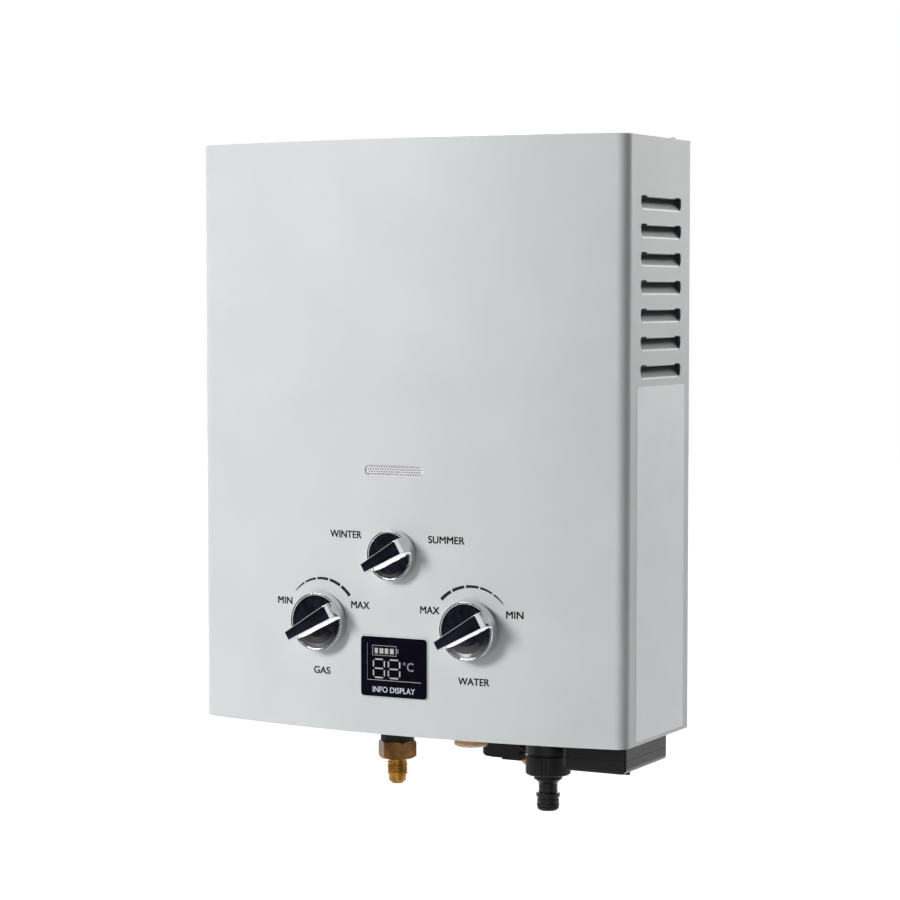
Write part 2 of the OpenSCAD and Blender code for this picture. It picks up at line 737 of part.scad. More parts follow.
module gas_valve() color("silver") {
    difference() {
        union() {
            translate([-60, valve_y, 52]) linear_extrude(52) rounded(64, valve_d, 5);
            translate([-knob_x, valve_front + 1, knob_z]) rotate([90, 0, 0]) cylinder(h = 6, r = 10);
            translate([gas_x, fitting_y, floor_z + fit]) cylinder(h = 60, r = 13);
            translate([gas_x - 10, valve_back - 6, 44]) cube([20, fitting_y - valve_back + 6, 18]);
            translate([-60, valve_y, 46]) linear_extrude(8) rounded(44, 28, 5);
        }
        translate([-knob_x, valve_front + 12, knob_z]) rotate([90, 0, 0])
            cylinder(h = 30, r = spindle_r + running);
        translate([link_x, valve_y, 98]) cylinder(h = 10, r = link_r + 0.1);
        translate([gas_x, fitting_y, 0]) cylinder(h = 32, r = 7.7);
        translate([rod_end - rod_travel - 1, valve_y, knob_z]) rotate([0, 90, 0])
            cylinder(h = 30, r = rod_r + running);
    }
}

module gas_solenoid() color("darkslategray") {
    translate([-92 - fit, valve_y, knob_z]) rotate([0, -90, 0]) {
        cylinder(h = 3, r = 15);
        cylinder(h = 34, r = 12);
        translate([0, 0, 34]) cylinder(h = 3, r = 6);
        translate([6, -4, 6]) cube([9, 8, 20]);
    }
}

module screw_ring() {
    for (a = [0 : 60 : 300]) translate([0, valve_y, knob_z]) rotate([a, 0, 0])
        translate([0, 0, diaphragm_r - 4]) children();
}

module water_valve() color("goldenrod") {
    difference() {
        union() {
            translate([66, valve_y, 58]) linear_extrude(40) rounded(72, valve_d, 6);
            translate([diaphragm_x, valve_y, knob_z]) rotate([0, 90, 0]) cylinder(h = 11, r = diaphragm_r);
            translate([knob_x, valve_front + 1, knob_z]) rotate([90, 0, 0]) cylinder(h = 6, r = 10);
            translate([inlet_x, fitting_y, floor_z + fit]) cylinder(h = 70, r = 15);
            translate([inlet_x - 11, valve_back - 6, 58]) cube([22, fitting_y - valve_back + 6, 26]);
            translate(cold_out) cylinder(h = 8, r = pipe_r + 4);
            translate([relief_x, relief_y, 22]) cylinder(h = 24, r = 10);
            hull() {
                translate([relief_x, relief_y, 30]) cylinder(h = 10, r = 6, $fn = 24);
                translate([inlet_x, fitting_y, 30]) cylinder(h = 10, r = 6, $fn = 24);
            }
        }
        translate([knob_x, valve_front + 12, knob_z]) rotate([90, 0, 0])
            cylinder(h = 30, r = spindle_r + running);
        translate([diaphragm_x - 1, valve_y, knob_z]) rotate([0, 90, 0]) cylinder(h = 7, r = diaphragm_r - 8);
        translate(cold_out - [0, 0, 2]) cylinder(h = 12, r = pipe_r + 0.1);
        translate([inlet_x, fitting_y, 0]) cylinder(h = 30, r = stub_r + 0.1);
        translate([relief_x, relief_y, 20]) cylinder(h = 18, r = 6.1);
        screw_ring() rotate([0, 90, 0]) cylinder(h = 28, r = screw_r, $fn = 24);
    }
}

module diaphragm() color("dimgray") {
    difference() {
        translate([diaphragm_x - diaphragm_t, valve_y, knob_z]) rotate([0, 90, 0])
            cylinder(h = diaphragm_t, r = diaphragm_r);
        screw_ring() rotate([0, 90, 0]) cylinder(h = 30, r = screw_r + 0.1, $fn = 24);
    }
}

module diaphragm_cover() color("silver") {
    thick = diaphragm_back;
    left = diaphragm_x - diaphragm_t - thick;
    difference() {
        union() {
            translate([left, valve_y, knob_z]) rotate([0, 90, 0]) cylinder(h = thick, r = diaphragm_r);
            translate([left - 8, valve_y, knob_z]) rotate([0, 90, 0]) cylinder(h = 9, r = 7);
        }
        translate([left + thick - 6, valve_y, knob_z]) rotate([0, 90, 0])
            cylinder(h = 7, r = diaphragm_r - 8);
        translate([left - 10, valve_y, knob_z]) rotate([0, 90, 0]) cylinder(h = 30, r = rod_r + running);
        screw_ring() rotate([0, 90, 0]) cylinder(h = 30, r = screw_r + 0.1, $fn = 24);
    }
}

module diaphragm_screws() color("gray") {
    left = diaphragm_x - diaphragm_t - diaphragm_back;
    screw_ring() translate([left, 0, 0]) rotate([0, 90, 0]) rotate_extrude($fn = 24)
        polygon([
            [0, -3], [2.6, -2.8], [3.5, -1.6], [3.5, 0], [screw_r - 0.05, 0], [screw_r - 0.05, 18], [0, 18]
        ]);
}

module push_rod() color("gray") {
    end = diaphragm_x - diaphragm_t - fit;
    translate([0, valve_y, knob_z]) rotate([0, 90, 0]) {
        translate([0, 0, rod_end]) cylinder(h = end - rod_end, r = rod_r);
        translate([0, 0, end - 1.5]) cylinder(h = 1.5, r = diaphragm_r - 11);
    }
}

module switch_bracket() color("silver") {
    translate([-28, valve_y - 9, 84]) {
        cube([plate_t, 18, 16]);
        cube([20, 18, plate_t]);
    }
}

module micro_switch() color("black") {
    translate([-25, valve_y - 4, 84 + plate_t]) {
        cube([16, 8, 10]);
        for (x = [2, 7, 12]) translate([x, 3, 10]) cube([1, 2, 4]);
        translate([5, 2, 10]) cube([1, 4, 1]);
    }
}

module control_box() color("black") {
    deep = 40;
    translate([control_x, -plate_t - fit, control_z]) {
        difference() {
            rotate([90, 0, 0]) linear_extrude(deep) translate([0, control_h / 2]) rounded(52, control_h, 4);
            for (z = [6, control_h - 6]) translate([-22, 1, z]) rotate([90, 0, 0])
                cylinder(h = deep + 2, r = 1.8, $fn = 24);
            translate([-16, -deep - 0.5, 10]) cube([36, 1.5, control_h - 20]);
        }
        for (x = lead_x) translate([x - control_x, -30 + plate_t + fit, control_h]) cylinder(h = 2, r = 4);
    }
}

// ---- Knobs ----

// Depth of a knob's back edge, clear of the highest point of the bowed panel behind it
function knob_base(x, r) = front_y(max(abs(x) - r, 0)) - knob_gap;

// Spindle from inside a valve to the knob, with a flat for the knob's bore
module spindle(x, z, inner, tip) {
    translate([x, inner, z]) rotate([90, 0, 0]) difference() {
        cylinder(h = inner - tip, r = spindle_r);
        translate([spindle_r - flat_in, -spindle_r - 1, inner - tip - flat_len])
            cube([5, 2 * spindle_r + 2, 20]);
    }
}

// Chromed dial with a raised bar across it, wide at the pointer and narrow at the tail
module knob(d) {
    r = d / 2;
    deep = 11;
    nose = r - 0.5;
    tail = 0.6 - r;
    top = knob_skirt + grip_h;
    difference() {
        union() {
            rotate_extrude($fn = 96) polygon([
                [0, 0], [r - 0.6, 0], [r, 0.6], [r - 0.3, knob_skirt - 1.2], [r - 1.3, knob_skirt],
                [r - 2.6, knob_skirt], [r - 3.4, knob_skirt - 0.9], [0, knob_skirt - 0.5]
            ]);
            translate([0, 0, -deep]) cylinder(h = deep, r = hub_r);
            intersection() {
                linear_extrude(top) polygon([
                    [tail, -grip_narrow / 2], [nose, -grip_wide / 2],
                    [nose, grip_wide / 2], [tail, grip_narrow / 2]
                ]);
                rotate([90, 0, 0]) translate([0, 0, -r]) linear_extrude(d) {
                    translate([tail, 0]) square([nose - nose_r - tail, top]);
                    translate([tail, 0]) square([nose - tail, top - nose_r]);
                    translate([nose - nose_r, top - nose_r]) circle(nose_r);
                }
            }
        }
        translate([0, 0, -deep - 1]) difference() {
            cylinder(h = deep + 4, r = spindle_r + 0.1);
            translate([spindle_r + 0.1 - flat_in, -spindle_r - 1, -1]) cube([5, 2 * spindle_r + 2, deep + 6]);
        }
    }
}

module placed_knob(x, z, d) {
    translate([x, knob_base(x, d / 2), z]) rotate([90, 0, 0]) rotate(pointer_a) knob(d);
}

module turned_spindle(x, z, d, inner) {
    translate([x, 0, z]) rotate([0, -pointer_a, 0]) spindle(0, 0, inner, knob_base(x, d / 2) - 2);
}

module gas_spindle() color("goldenrod") turned_spindle(-knob_x, knob_z, knob_d, valve_front + 11);

module water_spindle() color("goldenrod") turned_spindle(knob_x, knob_z, knob_d, valve_front + 11);

module season_spindle() color("goldenrod") turned_spindle(0, season_z, season_d, -104);

module gas_knob() color("lightslategray") placed_knob(-knob_x, knob_z, knob_d);

module water_knob() color("lightslategray") placed_knob(knob_x, knob_z, knob_d);

module season_knob() color("lightslategray") placed_knob(0, season_z, season_d);

// ---- Sight slot and display ----

module sight_mesh() color("whitesmoke") {
    rows = floor((sight_h - 0.6) / (mesh_pitch * 0.87));
    columns = floor((sight_w - 2) / mesh_pitch);
    difference() {
        intersection() {
            translate([0, 0, sight_z - sight_h / 2 - 3]) linear_extrude(sight_h + 6) difference() {
                plan(sheet + 0.1, 40);
                plan(sheet + 0.1 + mesh_t, 40);
            }
            translate([-sight_w / 2 - 3, -case_d - bow, 0]) cube([sight_w + 6, 30, case_h]);
        }
        for (j = [0 : rows - 1], i = [0 : columns - 1 - j % 2])
            translate([
                (i - (columns - 1) / 2 + (j % 2) / 2) * mesh_pitch, -case_d,
                sight_z + (j - (rows - 1) / 2) * mesh_pitch * 0.87
            ]) rotate([90, 0, 0]) cylinder(h = bow + 5, r = mesh_r, $fn = 6);
    }
}

module display_lens() color("black") {
    translate([0, 0, display_z]) from_front(lens_front, lens_t) rounded(display_w, display_h, display_r);
}

module display_frame() color("dimgray") {
    front = lens_front + lens_t + 0.1;
    translate([0, 0, display_z]) difference() {
        union() {
            from_front(front, 2) rounded(display_w + 6, display_h + 6, 3);
            from_front(front, frame_deep) rounded(display_w - 2, display_h - 2, 2);
        }
        from_front(front - 1, frame_deep - 1) rounded(display_w - 6, display_h - 6, 1.5);
        from_front(front, frame_deep + 1) slot(12, 5);
    }
}

module display_board() color("seagreen") {
    back = lens_front + lens_t + 0.1 + frame_deep - 2;
    translate([0, 0, display_z]) {
        from_front(back - 1.8, 1.6) square([display_w - 7, display_h - 7], center = true);
        from_front(back - 4.6, 2.8) square([display_w - 15, display_h - 15], center = true);
    }
}

// ---- Fittings under the case ----

module gas_inlet() color("goldenrod") {
    hex_low = gas_drop - 19;
    translate([gas_x, fitting_y, 0]) difference() {
        union() {
            intersection() {
                translate([0, 0, -hex_low]) rotate(hex_turn)
                    cylinder(h = hex_low - 17, r = gas_hex / sqrt(3), $fn = 6);
                rotate_extrude() polygon([
                    [0, -hex_low], [gas_hex / 2 - 0.3, -hex_low], [gas_hex / sqrt(3) + 0.2, -hex_low + 2],
                    [gas_hex / sqrt(3) + 0.2, -18.6], [gas_hex / 2 - 0.3, -17], [0, -17]
                ]);
            }
            rotate_extrude() polygon([
                [0, -gas_drop], [4.2, -gas_drop], [6.4, -gas_drop + 2.2], [6.4, -gas_drop + 6.4],
                [gas_thread_r, -gas_drop + 6.7], [gas_thread_r, -gas_drop + 16.1], [7, -gas_drop + 16.4],
                [7, -gas_drop + 20], [10, -gas_drop + 20], [10, -3], [10, floor_z + fit - 0.3],
                [7.5, floor_z + fit - 0.3],
                [7.5, 31], [0, 31]
            ]);
        }
        translate([0, 0, -gas_drop - 1]) cylinder(h = 90, r = 3.2);
    }
}

module gas_ring() color("dimgray") {
    translate([gas_x, fitting_y, -16.8]) difference() {
        cylinder(h = 6, r = 12.4);
        translate([0, 0, -1]) cylinder(h = 8, r = 10.1);
        translate([0, 0, 4]) cylinder(h = 3, r = 11.3);
    }
}

module hot_outlet() color("goldenrod") {
    translate([outlet_x, fitting_y, 0]) difference() {
        union() {
            translate([0, 0, 2 - cap_drop]) cylinder(h = cap_drop + 12, r = stub_r);
            translate([0, 0, floor_z + 0.1]) cylinder(h = 7, r = 15.6, $fn = 6);
        }
        translate([0, 0, -cap_drop]) cylinder(h = cap_drop + 8, r = 7);
        translate([0, 0, 8]) cylinder(h = 8, r = pipe_r + 0.1);
        translate([0, 0, 7]) cylinder(h = 3, r = pipe_r - 1);
    }
}

module outlet_cap() color("ivory") {
    translate([outlet_x, fitting_y, 0]) rotate_extrude() polygon([
        [0, -cap_drop], [cap_r - 1.2, -cap_drop], [cap_r, 1.2 - cap_drop], [cap_r, -1.5],
        [stub_r + 0.1, -1.5], [stub_r + 0.1, 1.8 - cap_drop], [0, 1.8 - cap_drop]
    ]);
}

module water_inlet() color("goldenrod") {
    translate([inlet_x, fitting_y, 0]) difference() {
        translate([0, 0, 6 - collar_drop]) cylinder(h = collar_drop + 23, r = stub_r);
        translate([0, 0, -collar_drop]) cylinder(h = collar_drop + 30, r = 7.5);
    }
}

// Basket that keeps grit out of the valve
module inlet_filter() color("lightgray") {
    translate([inlet_x, fitting_y, 0]) difference() {
        union() {
            translate([0, 0, -20]) cylinder(h = 34, r = 6);
            translate([0, 0, -20]) cylinder(h = 2, r = 7.3);
        }
        translate([0, 0, -21]) cylinder(h = 33.5, r = 5.2);
        for (a = [0 : 45 : 135], z = [-14, -4, 6]) translate([0, 0, z]) rotate([90, 0, a])
            translate([0, 0, -8]) cylinder(h = 16, r = 1.6, $fn = 6);
    }
}

module inlet_collar() color("dimgray") {
    top = 17.3;
    translate([inlet_x, fitting_y, 0]) difference() {
        rotate_extrude($fn = 96) polygon([
            [stub_r + 0.1, -0.6], [13.5, -0.6], [13.5, -8], [collar_r - 1, -9.5], [collar_r, -10.4],
            [collar_r, 0.6 - top], [collar_r - 1, -top], [collar_r - 1, -top - 0.7], [collar_r, -top - 1.4],
            [collar_r, 1 - collar_drop], [collar_r - 1, -collar_drop], [8.2, -collar_drop],
            [8.2, 5 - collar_drop], [stub_r + 0.1, 5.6 - collar_drop]
        ]);
        for (i = [0 : flute_count - 1]) rotate(i * 360 / flute_count)
            translate([collar_r + 0.35, 0, -collar_drop - 1])
                cylinder(h = collar_drop - top - 0.6, r = 0.85, $fn = 16);
    }
}

module hose_spigot() color("dimgray") {
    low = -collar_drop - spigot_len;
    translate([inlet_x, fitting_y, 0]) rotate_extrude($fn = 64) polygon([
        [4.5, low + 0.4], [5, low], [6.4, low], [7.8, low + 1.2], [8, low + 2.6], [6.2, low + 2.7],
        [6.2, low + 5], [8, low + 5.1], [8, low + 8.4], [7.4, low + 8.6], [7.4, low + 9.6],
        [spigot_r - 0.2, low + 9.8], [spigot_r, low + 10.6], [spigot_r, low + 12.4],
        [spigot_r - 0.3, low + 13],
        [6.8, low + 13.3], [6.8, low + 19.6], [8.9, -collar_drop - 4], [10.2, -collar_drop - 3.4],
        [10.2, -collar_drop - 2.2], [9.8, -collar_drop - 1.9], [9.8, -collar_drop - 1.5],
        [10.2, -collar_drop - 1.2],
        [10.2, -collar_drop - 0.3], [8, -collar_drop - 0.3], [8, 5 - collar_drop], [4.5, 5 - collar_drop]
    ]);
}

module spigot_seal() color("black") {
    low = -collar_drop - spigot_len;
    translate([inlet_x, fitting_y, low + 3.85]) rotate_extrude($fn = 64)
        translate([7.25, 0]) circle(1, $fn = 24);
}

// ---- Battery box ----

module battery_box() color("dimgray") {
    inner_w = battery_w - 2 * battery_wall;
    rib = (inner_w - cell_d) / 2 - 0.4;
    translate([battery_x, battery_y, 0]) difference() {
        union() {
            translate([0, 0, lid_z + 0.2]) linear_extrude(box_top - lid_z - 0.2)
                rounded(battery_w, battery_d, battery_r);
            translate([0, 0, floor_z]) linear_extrude(2) rounded(battery_w + 6, battery_d + 6, battery_r + 3);
        }
        translate([0, 0, lid_z - 1]) linear_extrude(box_top - battery_wall - lid_z + 1)
            rounded(inner_w, battery_d - 2 * battery_wall, battery_r - battery_wall);
    }
    for (y = cell_sides, m = [0, 1]) translate([battery_x, y - 1, cell_z + 4]) mirror([m, 0, 0])
        translate([inner_w / 2 - rib, 0, 0]) cube([rib + battery_wall / 2, 2, cell_len]);
    for (y = [-12, 12]) difference() {
        union() {
            translate([hinge_x, battery_y + y - 3.7, hinge_z]) rotate([-90, 0, 0])
                cylinder(h = 7.4, r = pin_r + 1);
            translate([hinge_x, battery_y + y - 3.7, hinge_z + 0.2]) cube([4, 7.4, 4]);
        }
        translate([hinge_x, battery_y + y - 9, hinge_z]) rotate([-90, 0, 0])
            cylinder(h = 18, r = pin_r + running);
    }
}

module battery_cells() {
    for (y = cell_sides) translate([battery_x, y, cell_z]) color("steelblue")
        rotate_extrude() polygon([
            [0, 0], [cell_d / 2 - 2, 0], [cell_d / 2, 0.8], [cell_d / 2, cell_len - 2.6],
            [cell_d / 2 - 1, cell_len - 1.6], [5, cell_len - 1.6], [4.6, cell_len], [0, cell_len]
        ]);
}

module top_contact() color("silver") {
    for (y = cell_sides) translate([battery_x, y, box_top - battery_wall - 0.1]) mirror([0, 0, 1]) {
        cylinder(h = 0.8, r = 12);
        rotate_extrude() polygon([[0, 0], [6, 0], [3, 4], [0, 4]]);
    }
}

// Outline of the lid from one side, with its two lower corners rounded
module lid_outline(w, low, high, left, right) {
    translate([-w / 2, low + left]) square([w / 2, high - low - left]);
    translate([0, low + right]) square([w / 2, high - low - right]);
    translate([left - w / 2, low]) square([w - left - right, high - low]);
    translate([left - w / 2, low + left]) circle(left);
    translate([w / 2 - right, low + right]) circle(right);
}

// Shell of the lid: its plan, front and side outlines cut together
module lid_block(inset, low, high) {
    w = battery_w - 2 * inset;
    d = battery_d - 2 * inset;
    edge = lid_edge - inset;
    intersection() {
        translate([0, 0, low]) linear_extrude(high - low) rounded(w, d, battery_r - inset);
        rotate([90, 0, 0]) translate([0, 0, -d]) linear_extrude(2 * d)
            lid_outline(w, low, high, lid_r - inset, lid_far - inset);
        rotate([90, 0, 90]) translate([0, 0, -w]) linear_extrude(2 * w) lid_outline(d, low, high, edge, edge);
    }
}

module battery_lid() color("dimgray") {
    difference() {
        union() {
            translate([battery_x, battery_y, 0]) lid_block(0, -battery_drop, lid_z);
            translate([hinge_x, battery_y - 7.9, hinge_z]) rotate([-90, 0, 0])
                cylinder(h = 15.8, r = pin_r + 1);
            translate([hinge_x, battery_y - 7.9, hinge_z - 3.2]) cube([4, 15.8, 3.2]);
            translate([battery_x + battery_w / 2 - 10.3, battery_y - 21.2, -battery_drop - 2.5])
                cube([6, 2.6, 4]);
        }
        translate([battery_x, battery_y, 0]) lid_block(battery_wall, battery_wall - battery_drop, lid_z + 1);
        translate([hinge_x, battery_y - 9, hinge_z]) rotate([-90, 0, 0])
            cylinder(h = 18, r = pin_r + running);
    }
}

module lid_contact() color("silver") {
    high = cell_z - 0.4 + battery_drop - battery_wall;
    translate([battery_x, 0, battery_wall + 0.1 - battery_drop]) {
        for (y = cell_sides) translate([0, y, 0]) rotate_extrude()
            polygon([[0, 0], [11, 0], [11, 0.6], [5, 6], [5, high], [0, high]]);
        translate([-5, battery_y - cell_off, 0]) cube([10, 2 * cell_off, 0.6]);
    }
}

module lid_pin() color("silver") {
    translate([hinge_x, battery_y - 16, hinge_z]) rotate([-90, 0, 0]) cylinder(h = 32, r = pin_r);
}

// ---- Relief valve ----

module relief_valve() color("goldenrod") {
    translate([relief_x, relief_y, 0]) difference() {
        union() {
            rotate_extrude() polygon([
                [0, -relief_drop], [relief_r - 3, -relief_drop], [relief_r, 3 - relief_drop],
                [relief_r, floor_z + 14], [6, floor_z + 16], [6, 36], [0, 36]
            ]);
            translate([0, 0, floor_z + 0.2]) cylinder(h = 8, r = 12.5, $fn = 6);
        }
        translate([0, 0, -relief_drop - 1]) cylinder(h = 60, r = 2.2);
        translate([pivot_x - relief_x, -20, pivot_z]) rotate([-90, 0, 0])
            cylinder(h = 40, r = lever_pin_r + running);
    }
}

// Lever whose fork straddles the valve and whose tip lifts away downwards
module relief_lever() color("dimgray") {
    cheek = 2.4;
    gap = relief_r + 0.3;
    arm_x = relief_x - lever_len;
    difference() {
        union() {
            intersection() {
                union() {
                    translate([arm_x + lever_w / 2, relief_y, lever_z]) cylinder(h = lever_t, r = lever_w / 2);
                    translate([arm_x + lever_w / 2, relief_y - lever_w / 2, lever_z])
                        cube([pivot_x - fork_in - arm_x - lever_w / 2, lever_w, lever_t]);
                }
                translate([arm_x, relief_y + lever_w, lever_z]) rotate([90, 0, 0]) linear_extrude(2 * lever_w)
                    polygon([
                        [0, 2.6], [4.5, 0.6], [11, 0], [lever_len, 0], [lever_len, lever_t], [7, lever_t],
                        [4, lever_t - 1.6], [0, 6.2]
                    ]);
            }
            translate([pivot_x - fork_in - 5, relief_y - gap - cheek, lever_z])
                cube([5, 2 * (gap + cheek), lever_t]);
            for (y = [relief_y - gap - cheek, relief_y + gap]) {
                translate([pivot_x - fork_in - 1, y, lever_z]) cube([fork_in + 1, cheek, lever_t]);
                translate([pivot_x, y, pivot_z]) rotate([-90, 0, 0]) cylinder(h = cheek, r = 4.6);
            }
        }
        translate([pivot_x, relief_y - 20, pivot_z]) rotate([-90, 0, 0])
            cylinder(h = 40, r = lever_pin_r + running);
    }
}

module relief_pin() color("silver") {
    translate([pivot_x, relief_y - 13.2, pivot_z]) rotate([-90, 0, 0]) cylinder(h = 26.4, r = lever_pin_r);
}

hung() front_cover();
hung() back_plate();
hung() bottom_plate();
hung() top_panel();
hung() cover_screws();
hung() flue_hood();
hung() chamber_shell();
hung() fin_pack();
hung() exchanger_tube();
hung() exchanger_brackets();
hung() hot_pipe();
hung() cold_pipe();
hung() pipe_nuts();
hung() thermal_cutout();
hung() burner_frame();
hung() burner_bars();
hung() gas_manifold();
hung() gas_nozzles();
hung() electrodes();
hung() electrode_leads();
hung() season_valve();
hung() gas_link_pipe();
hung() gas_valve();
hung() gas_solenoid();
hung() water_valve();
hung() diaphragm();
hung() diaphragm_cover();
hung() diaphragm_screws();
hung() push_rod();
hung() switch_bracket();
hung() micro_switch();
hung() control_box();
hung() gas_spindle();
hung() gas_knob();
hung() water_spindle();
hung() water_knob();
hung() season_spindle();
hung() season_knob();
hung() sight_mesh();
hung() display_lens();
hung() display_frame();
hung() display_board();
hung() gas_inlet();
hung() gas_ring();
hung() hot_outlet();
hung() outlet_cap();
hung() water_inlet();
hung() inlet_filter();
hung() inlet_collar();
hung() hose_spigot();
hung() spigot_seal();
hung() battery_box();
hung() battery_cells();
hung() top_contact();
hung() battery_lid();
hung() lid_contact();
hung() lid_pin();
hung() relief_valve();
hung() relief_lever();
hung() relief_pin();
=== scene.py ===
import math
import bmesh
import bpy
from mathutils import Matrix, Vector


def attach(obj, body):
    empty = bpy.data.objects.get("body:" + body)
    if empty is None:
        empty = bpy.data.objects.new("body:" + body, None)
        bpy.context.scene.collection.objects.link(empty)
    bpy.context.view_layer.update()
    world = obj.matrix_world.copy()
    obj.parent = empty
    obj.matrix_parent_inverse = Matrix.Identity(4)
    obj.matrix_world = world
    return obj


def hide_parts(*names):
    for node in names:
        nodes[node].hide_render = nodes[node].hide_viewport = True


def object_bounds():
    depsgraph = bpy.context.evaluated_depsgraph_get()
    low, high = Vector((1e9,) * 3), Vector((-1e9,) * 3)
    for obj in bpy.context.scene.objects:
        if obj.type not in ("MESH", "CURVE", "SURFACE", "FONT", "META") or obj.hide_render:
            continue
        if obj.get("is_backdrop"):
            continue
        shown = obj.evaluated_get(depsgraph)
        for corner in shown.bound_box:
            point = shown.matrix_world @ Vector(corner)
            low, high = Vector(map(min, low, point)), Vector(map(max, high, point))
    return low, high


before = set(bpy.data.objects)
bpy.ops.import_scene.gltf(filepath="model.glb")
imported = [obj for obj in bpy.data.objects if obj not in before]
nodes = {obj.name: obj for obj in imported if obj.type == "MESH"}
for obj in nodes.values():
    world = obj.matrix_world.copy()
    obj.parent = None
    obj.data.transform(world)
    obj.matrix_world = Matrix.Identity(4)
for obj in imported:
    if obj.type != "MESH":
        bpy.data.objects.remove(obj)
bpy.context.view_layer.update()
print("frame loaded,", len(nodes), "nodes")

# Case sizes in millimetres, with z from the cover's bottom edge
case = {"hangHeight": 392, "halfWidth": 170, "bowRadius": 770.026, "bowCentre": 641.026}


def toFrame(x, y, z):  # millimetres on the case to metres in the frame
    return Vector((x / 1000, y / 1000, (z - case["hangHeight"]) / 1000))


def frontY(x):  # depth of the bowed front face, in millimetres
    return case["bowCentre"] - math.sqrt(case["bowRadius"] ** 2 - x * x)


def linearColour(code):  # sRGB hex to the linear values that the shaders take
    parts = [int(code[i:i + 2], 16) / 255 for i in (1, 3, 5)]
    return [p / 12.92 if p <= 0.04045 else ((p + 0.055) / 1.055) ** 2.4 for p in parts] + [1]


def addNode(tree, kind, values=None, links=None, **settings):
    node = tree.nodes.new(kind)
    for name, value in settings.items():
        setattr(node, name, value)
    for socket, value in (values or {}).items():
        node.inputs[socket].default_value = value
    for socket, source in (links or {}).items():
        tree.links.new(source, node.inputs[socket])
    return node


noiseSpan = {"From Min": 0.3, "From Max": 0.7}  # nearly all values of a noise lie in it


def grainedFinish(look):
    material = bpy.data.materials.new(look["name"])
    material.use_nodes = True
    tree = material.node_tree
    tree.nodes.clear()
    shader = addNode(tree, "ShaderNodeBsdfPrincipled", look["shader"])
    addNode(tree, "ShaderNodeOutputMaterial", links={"Surface": shader.outputs["BSDF"]})
    coordinates = addNode(tree, "ShaderNodeTexCoord")
    place = coordinates.outputs["Object"]
    if "spangle" in look:  # crystals of zinc, each with its own tone
        cells = addNode(tree, "ShaderNodeTexVoronoi", {"Scale": 1000 / look["spangle"]}, {"Vector": place})
        tone = addNode(tree, "ShaderNodeRGBToBW", links={"Color": cells.outputs["Color"]}).outputs[0]
    else:
        cloud = addNode(tree, "ShaderNodeTexNoise", {"Scale": 1000 / look["patch"], "Detail": 3},
                        {"Vector": place})
        tone = addNode(tree, "ShaderNodeMapRange", noiseSpan, {"Value": cloud.outputs[0]}).outputs[0]
    one, other = (linearColour(code) for code in look["colours"])
    mixed = addNode(tree, "ShaderNodeMix", {6: one, 7: other}, {0: tone}, data_type="RGBA")
    if "core" in look:  # a band where the metal inside shows through
        core = look["core"]
        spot = addNode(tree, "ShaderNodeSeparateXYZ", links={0: place})
        off = addNode(tree, "ShaderNodeMath", {1: core["middle"]}, {0: spot.outputs["Z"]},
                      operation="SUBTRACT")
        off = addNode(tree, "ShaderNodeMath", links={0: off.outputs[0]}, operation="ABSOLUTE")
        deep = addNode(tree, "ShaderNodeMapRange", {"From Min": core["fade"], "From Max": core["half"]},
                       {"Value": off.outputs[0]})
        mixed = addNode(tree, "ShaderNodeMix", {7: linearColour(core["colour"])},
                        {0: deep.outputs[0], 6: mixed.outputs[2]}, data_type="RGBA")
    if "holeShade" in look:  # painted shade on the walls of the punched holes, so the holes read dark
        facing = addNode(tree, "ShaderNodeSeparateXYZ", links={0: coordinates.outputs["Normal"]})
        flat = addNode(tree, "ShaderNodeMath", links={0: facing.outputs["Y"]}, operation="ABSOLUTE")
        holeShadeMask = addNode(tree, "ShaderNodeMapRange", {"From Min": 0.8, "From Max": 0.3},
                       {"Value": flat.outputs[0]})
        mixed = addNode(tree, "ShaderNodeMix", {7: linearColour(look["holeShade"])},
                        {0: holeShadeMask.outputs[0], 6: mixed.outputs[2]}, data_type="RGBA")
    if "louvreShade" in look:  # painted shade inside the louvres: the paint there is darkened and its gloss lowered
        louvreShade = look["louvreShade"]
        spot = addNode(tree, "ShaderNodeSeparateXYZ", links={0: place})
        inward = addNode(tree, "ShaderNodeMath", links={0: spot.outputs["X"]}, operation="ABSOLUTE")
        shadeMask = addNode(tree, "ShaderNodeMapRange", {"From Min": louvreShade["lip"], "From Max": louvreShade["deep"]},
                       {"Value": inward.outputs[0]}).outputs[0]
        for axis, (middle, reach) in louvreShade["spans"].items():
            near = addNode(tree, "ShaderNodeMath", {1: middle, 2: reach}, {0: spot.outputs[axis]},
                           operation="COMPARE")
            shadeMask = addNode(tree, "ShaderNodeMath", links={0: shadeMask, 1: near.outputs[0]},
                           operation="MULTIPLY").outputs[0]
        mixed = addNode(tree, "ShaderNodeMix", {7: linearColour(louvreShade["colour"])},
                        {0: shadeMask, 6: mixed.outputs[2]}, data_type="RGBA")
        dull = addNode(tree, "ShaderNodeMapRange", {"To Min": 0.5, "To Max": 0.06}, {"Value": shadeMask})
        tree.links.new(dull.outputs[0], shader.inputs["Specular IOR Level"])
    tree.links.new(mixed.outputs[2], shader.inputs["Base Color"])
    drawn = addNode(tree, "ShaderNodeMapping", {"Scale": look.get("drawn", (1, 1, 1))}, {"Vector": place})
    grain = addNode(tree, "ShaderNodeTexNoise", {"Scale": 1000 / look["grain"], "Detail": 2},
                    {"Vector": drawn.outputs[0]})
    least, most = look["rough"]
    rough = addNode(tree, "ShaderNodeMapRange", {**noiseSpan, "To Min": least, "To Max": most},
                    {"Value": grain.outputs[0]})
    tree.links.new(rough.outputs[0], shader.inputs["Roughness"])
    bump = addNode(tree, "ShaderNodeBump", {"Strength": 1, "Distance": look["depth"] / 1000},
                   {"Height": grain.outputs[0]})
    tree.links.new(bump.outputs[0], shader.inputs["Normal"])
    return material


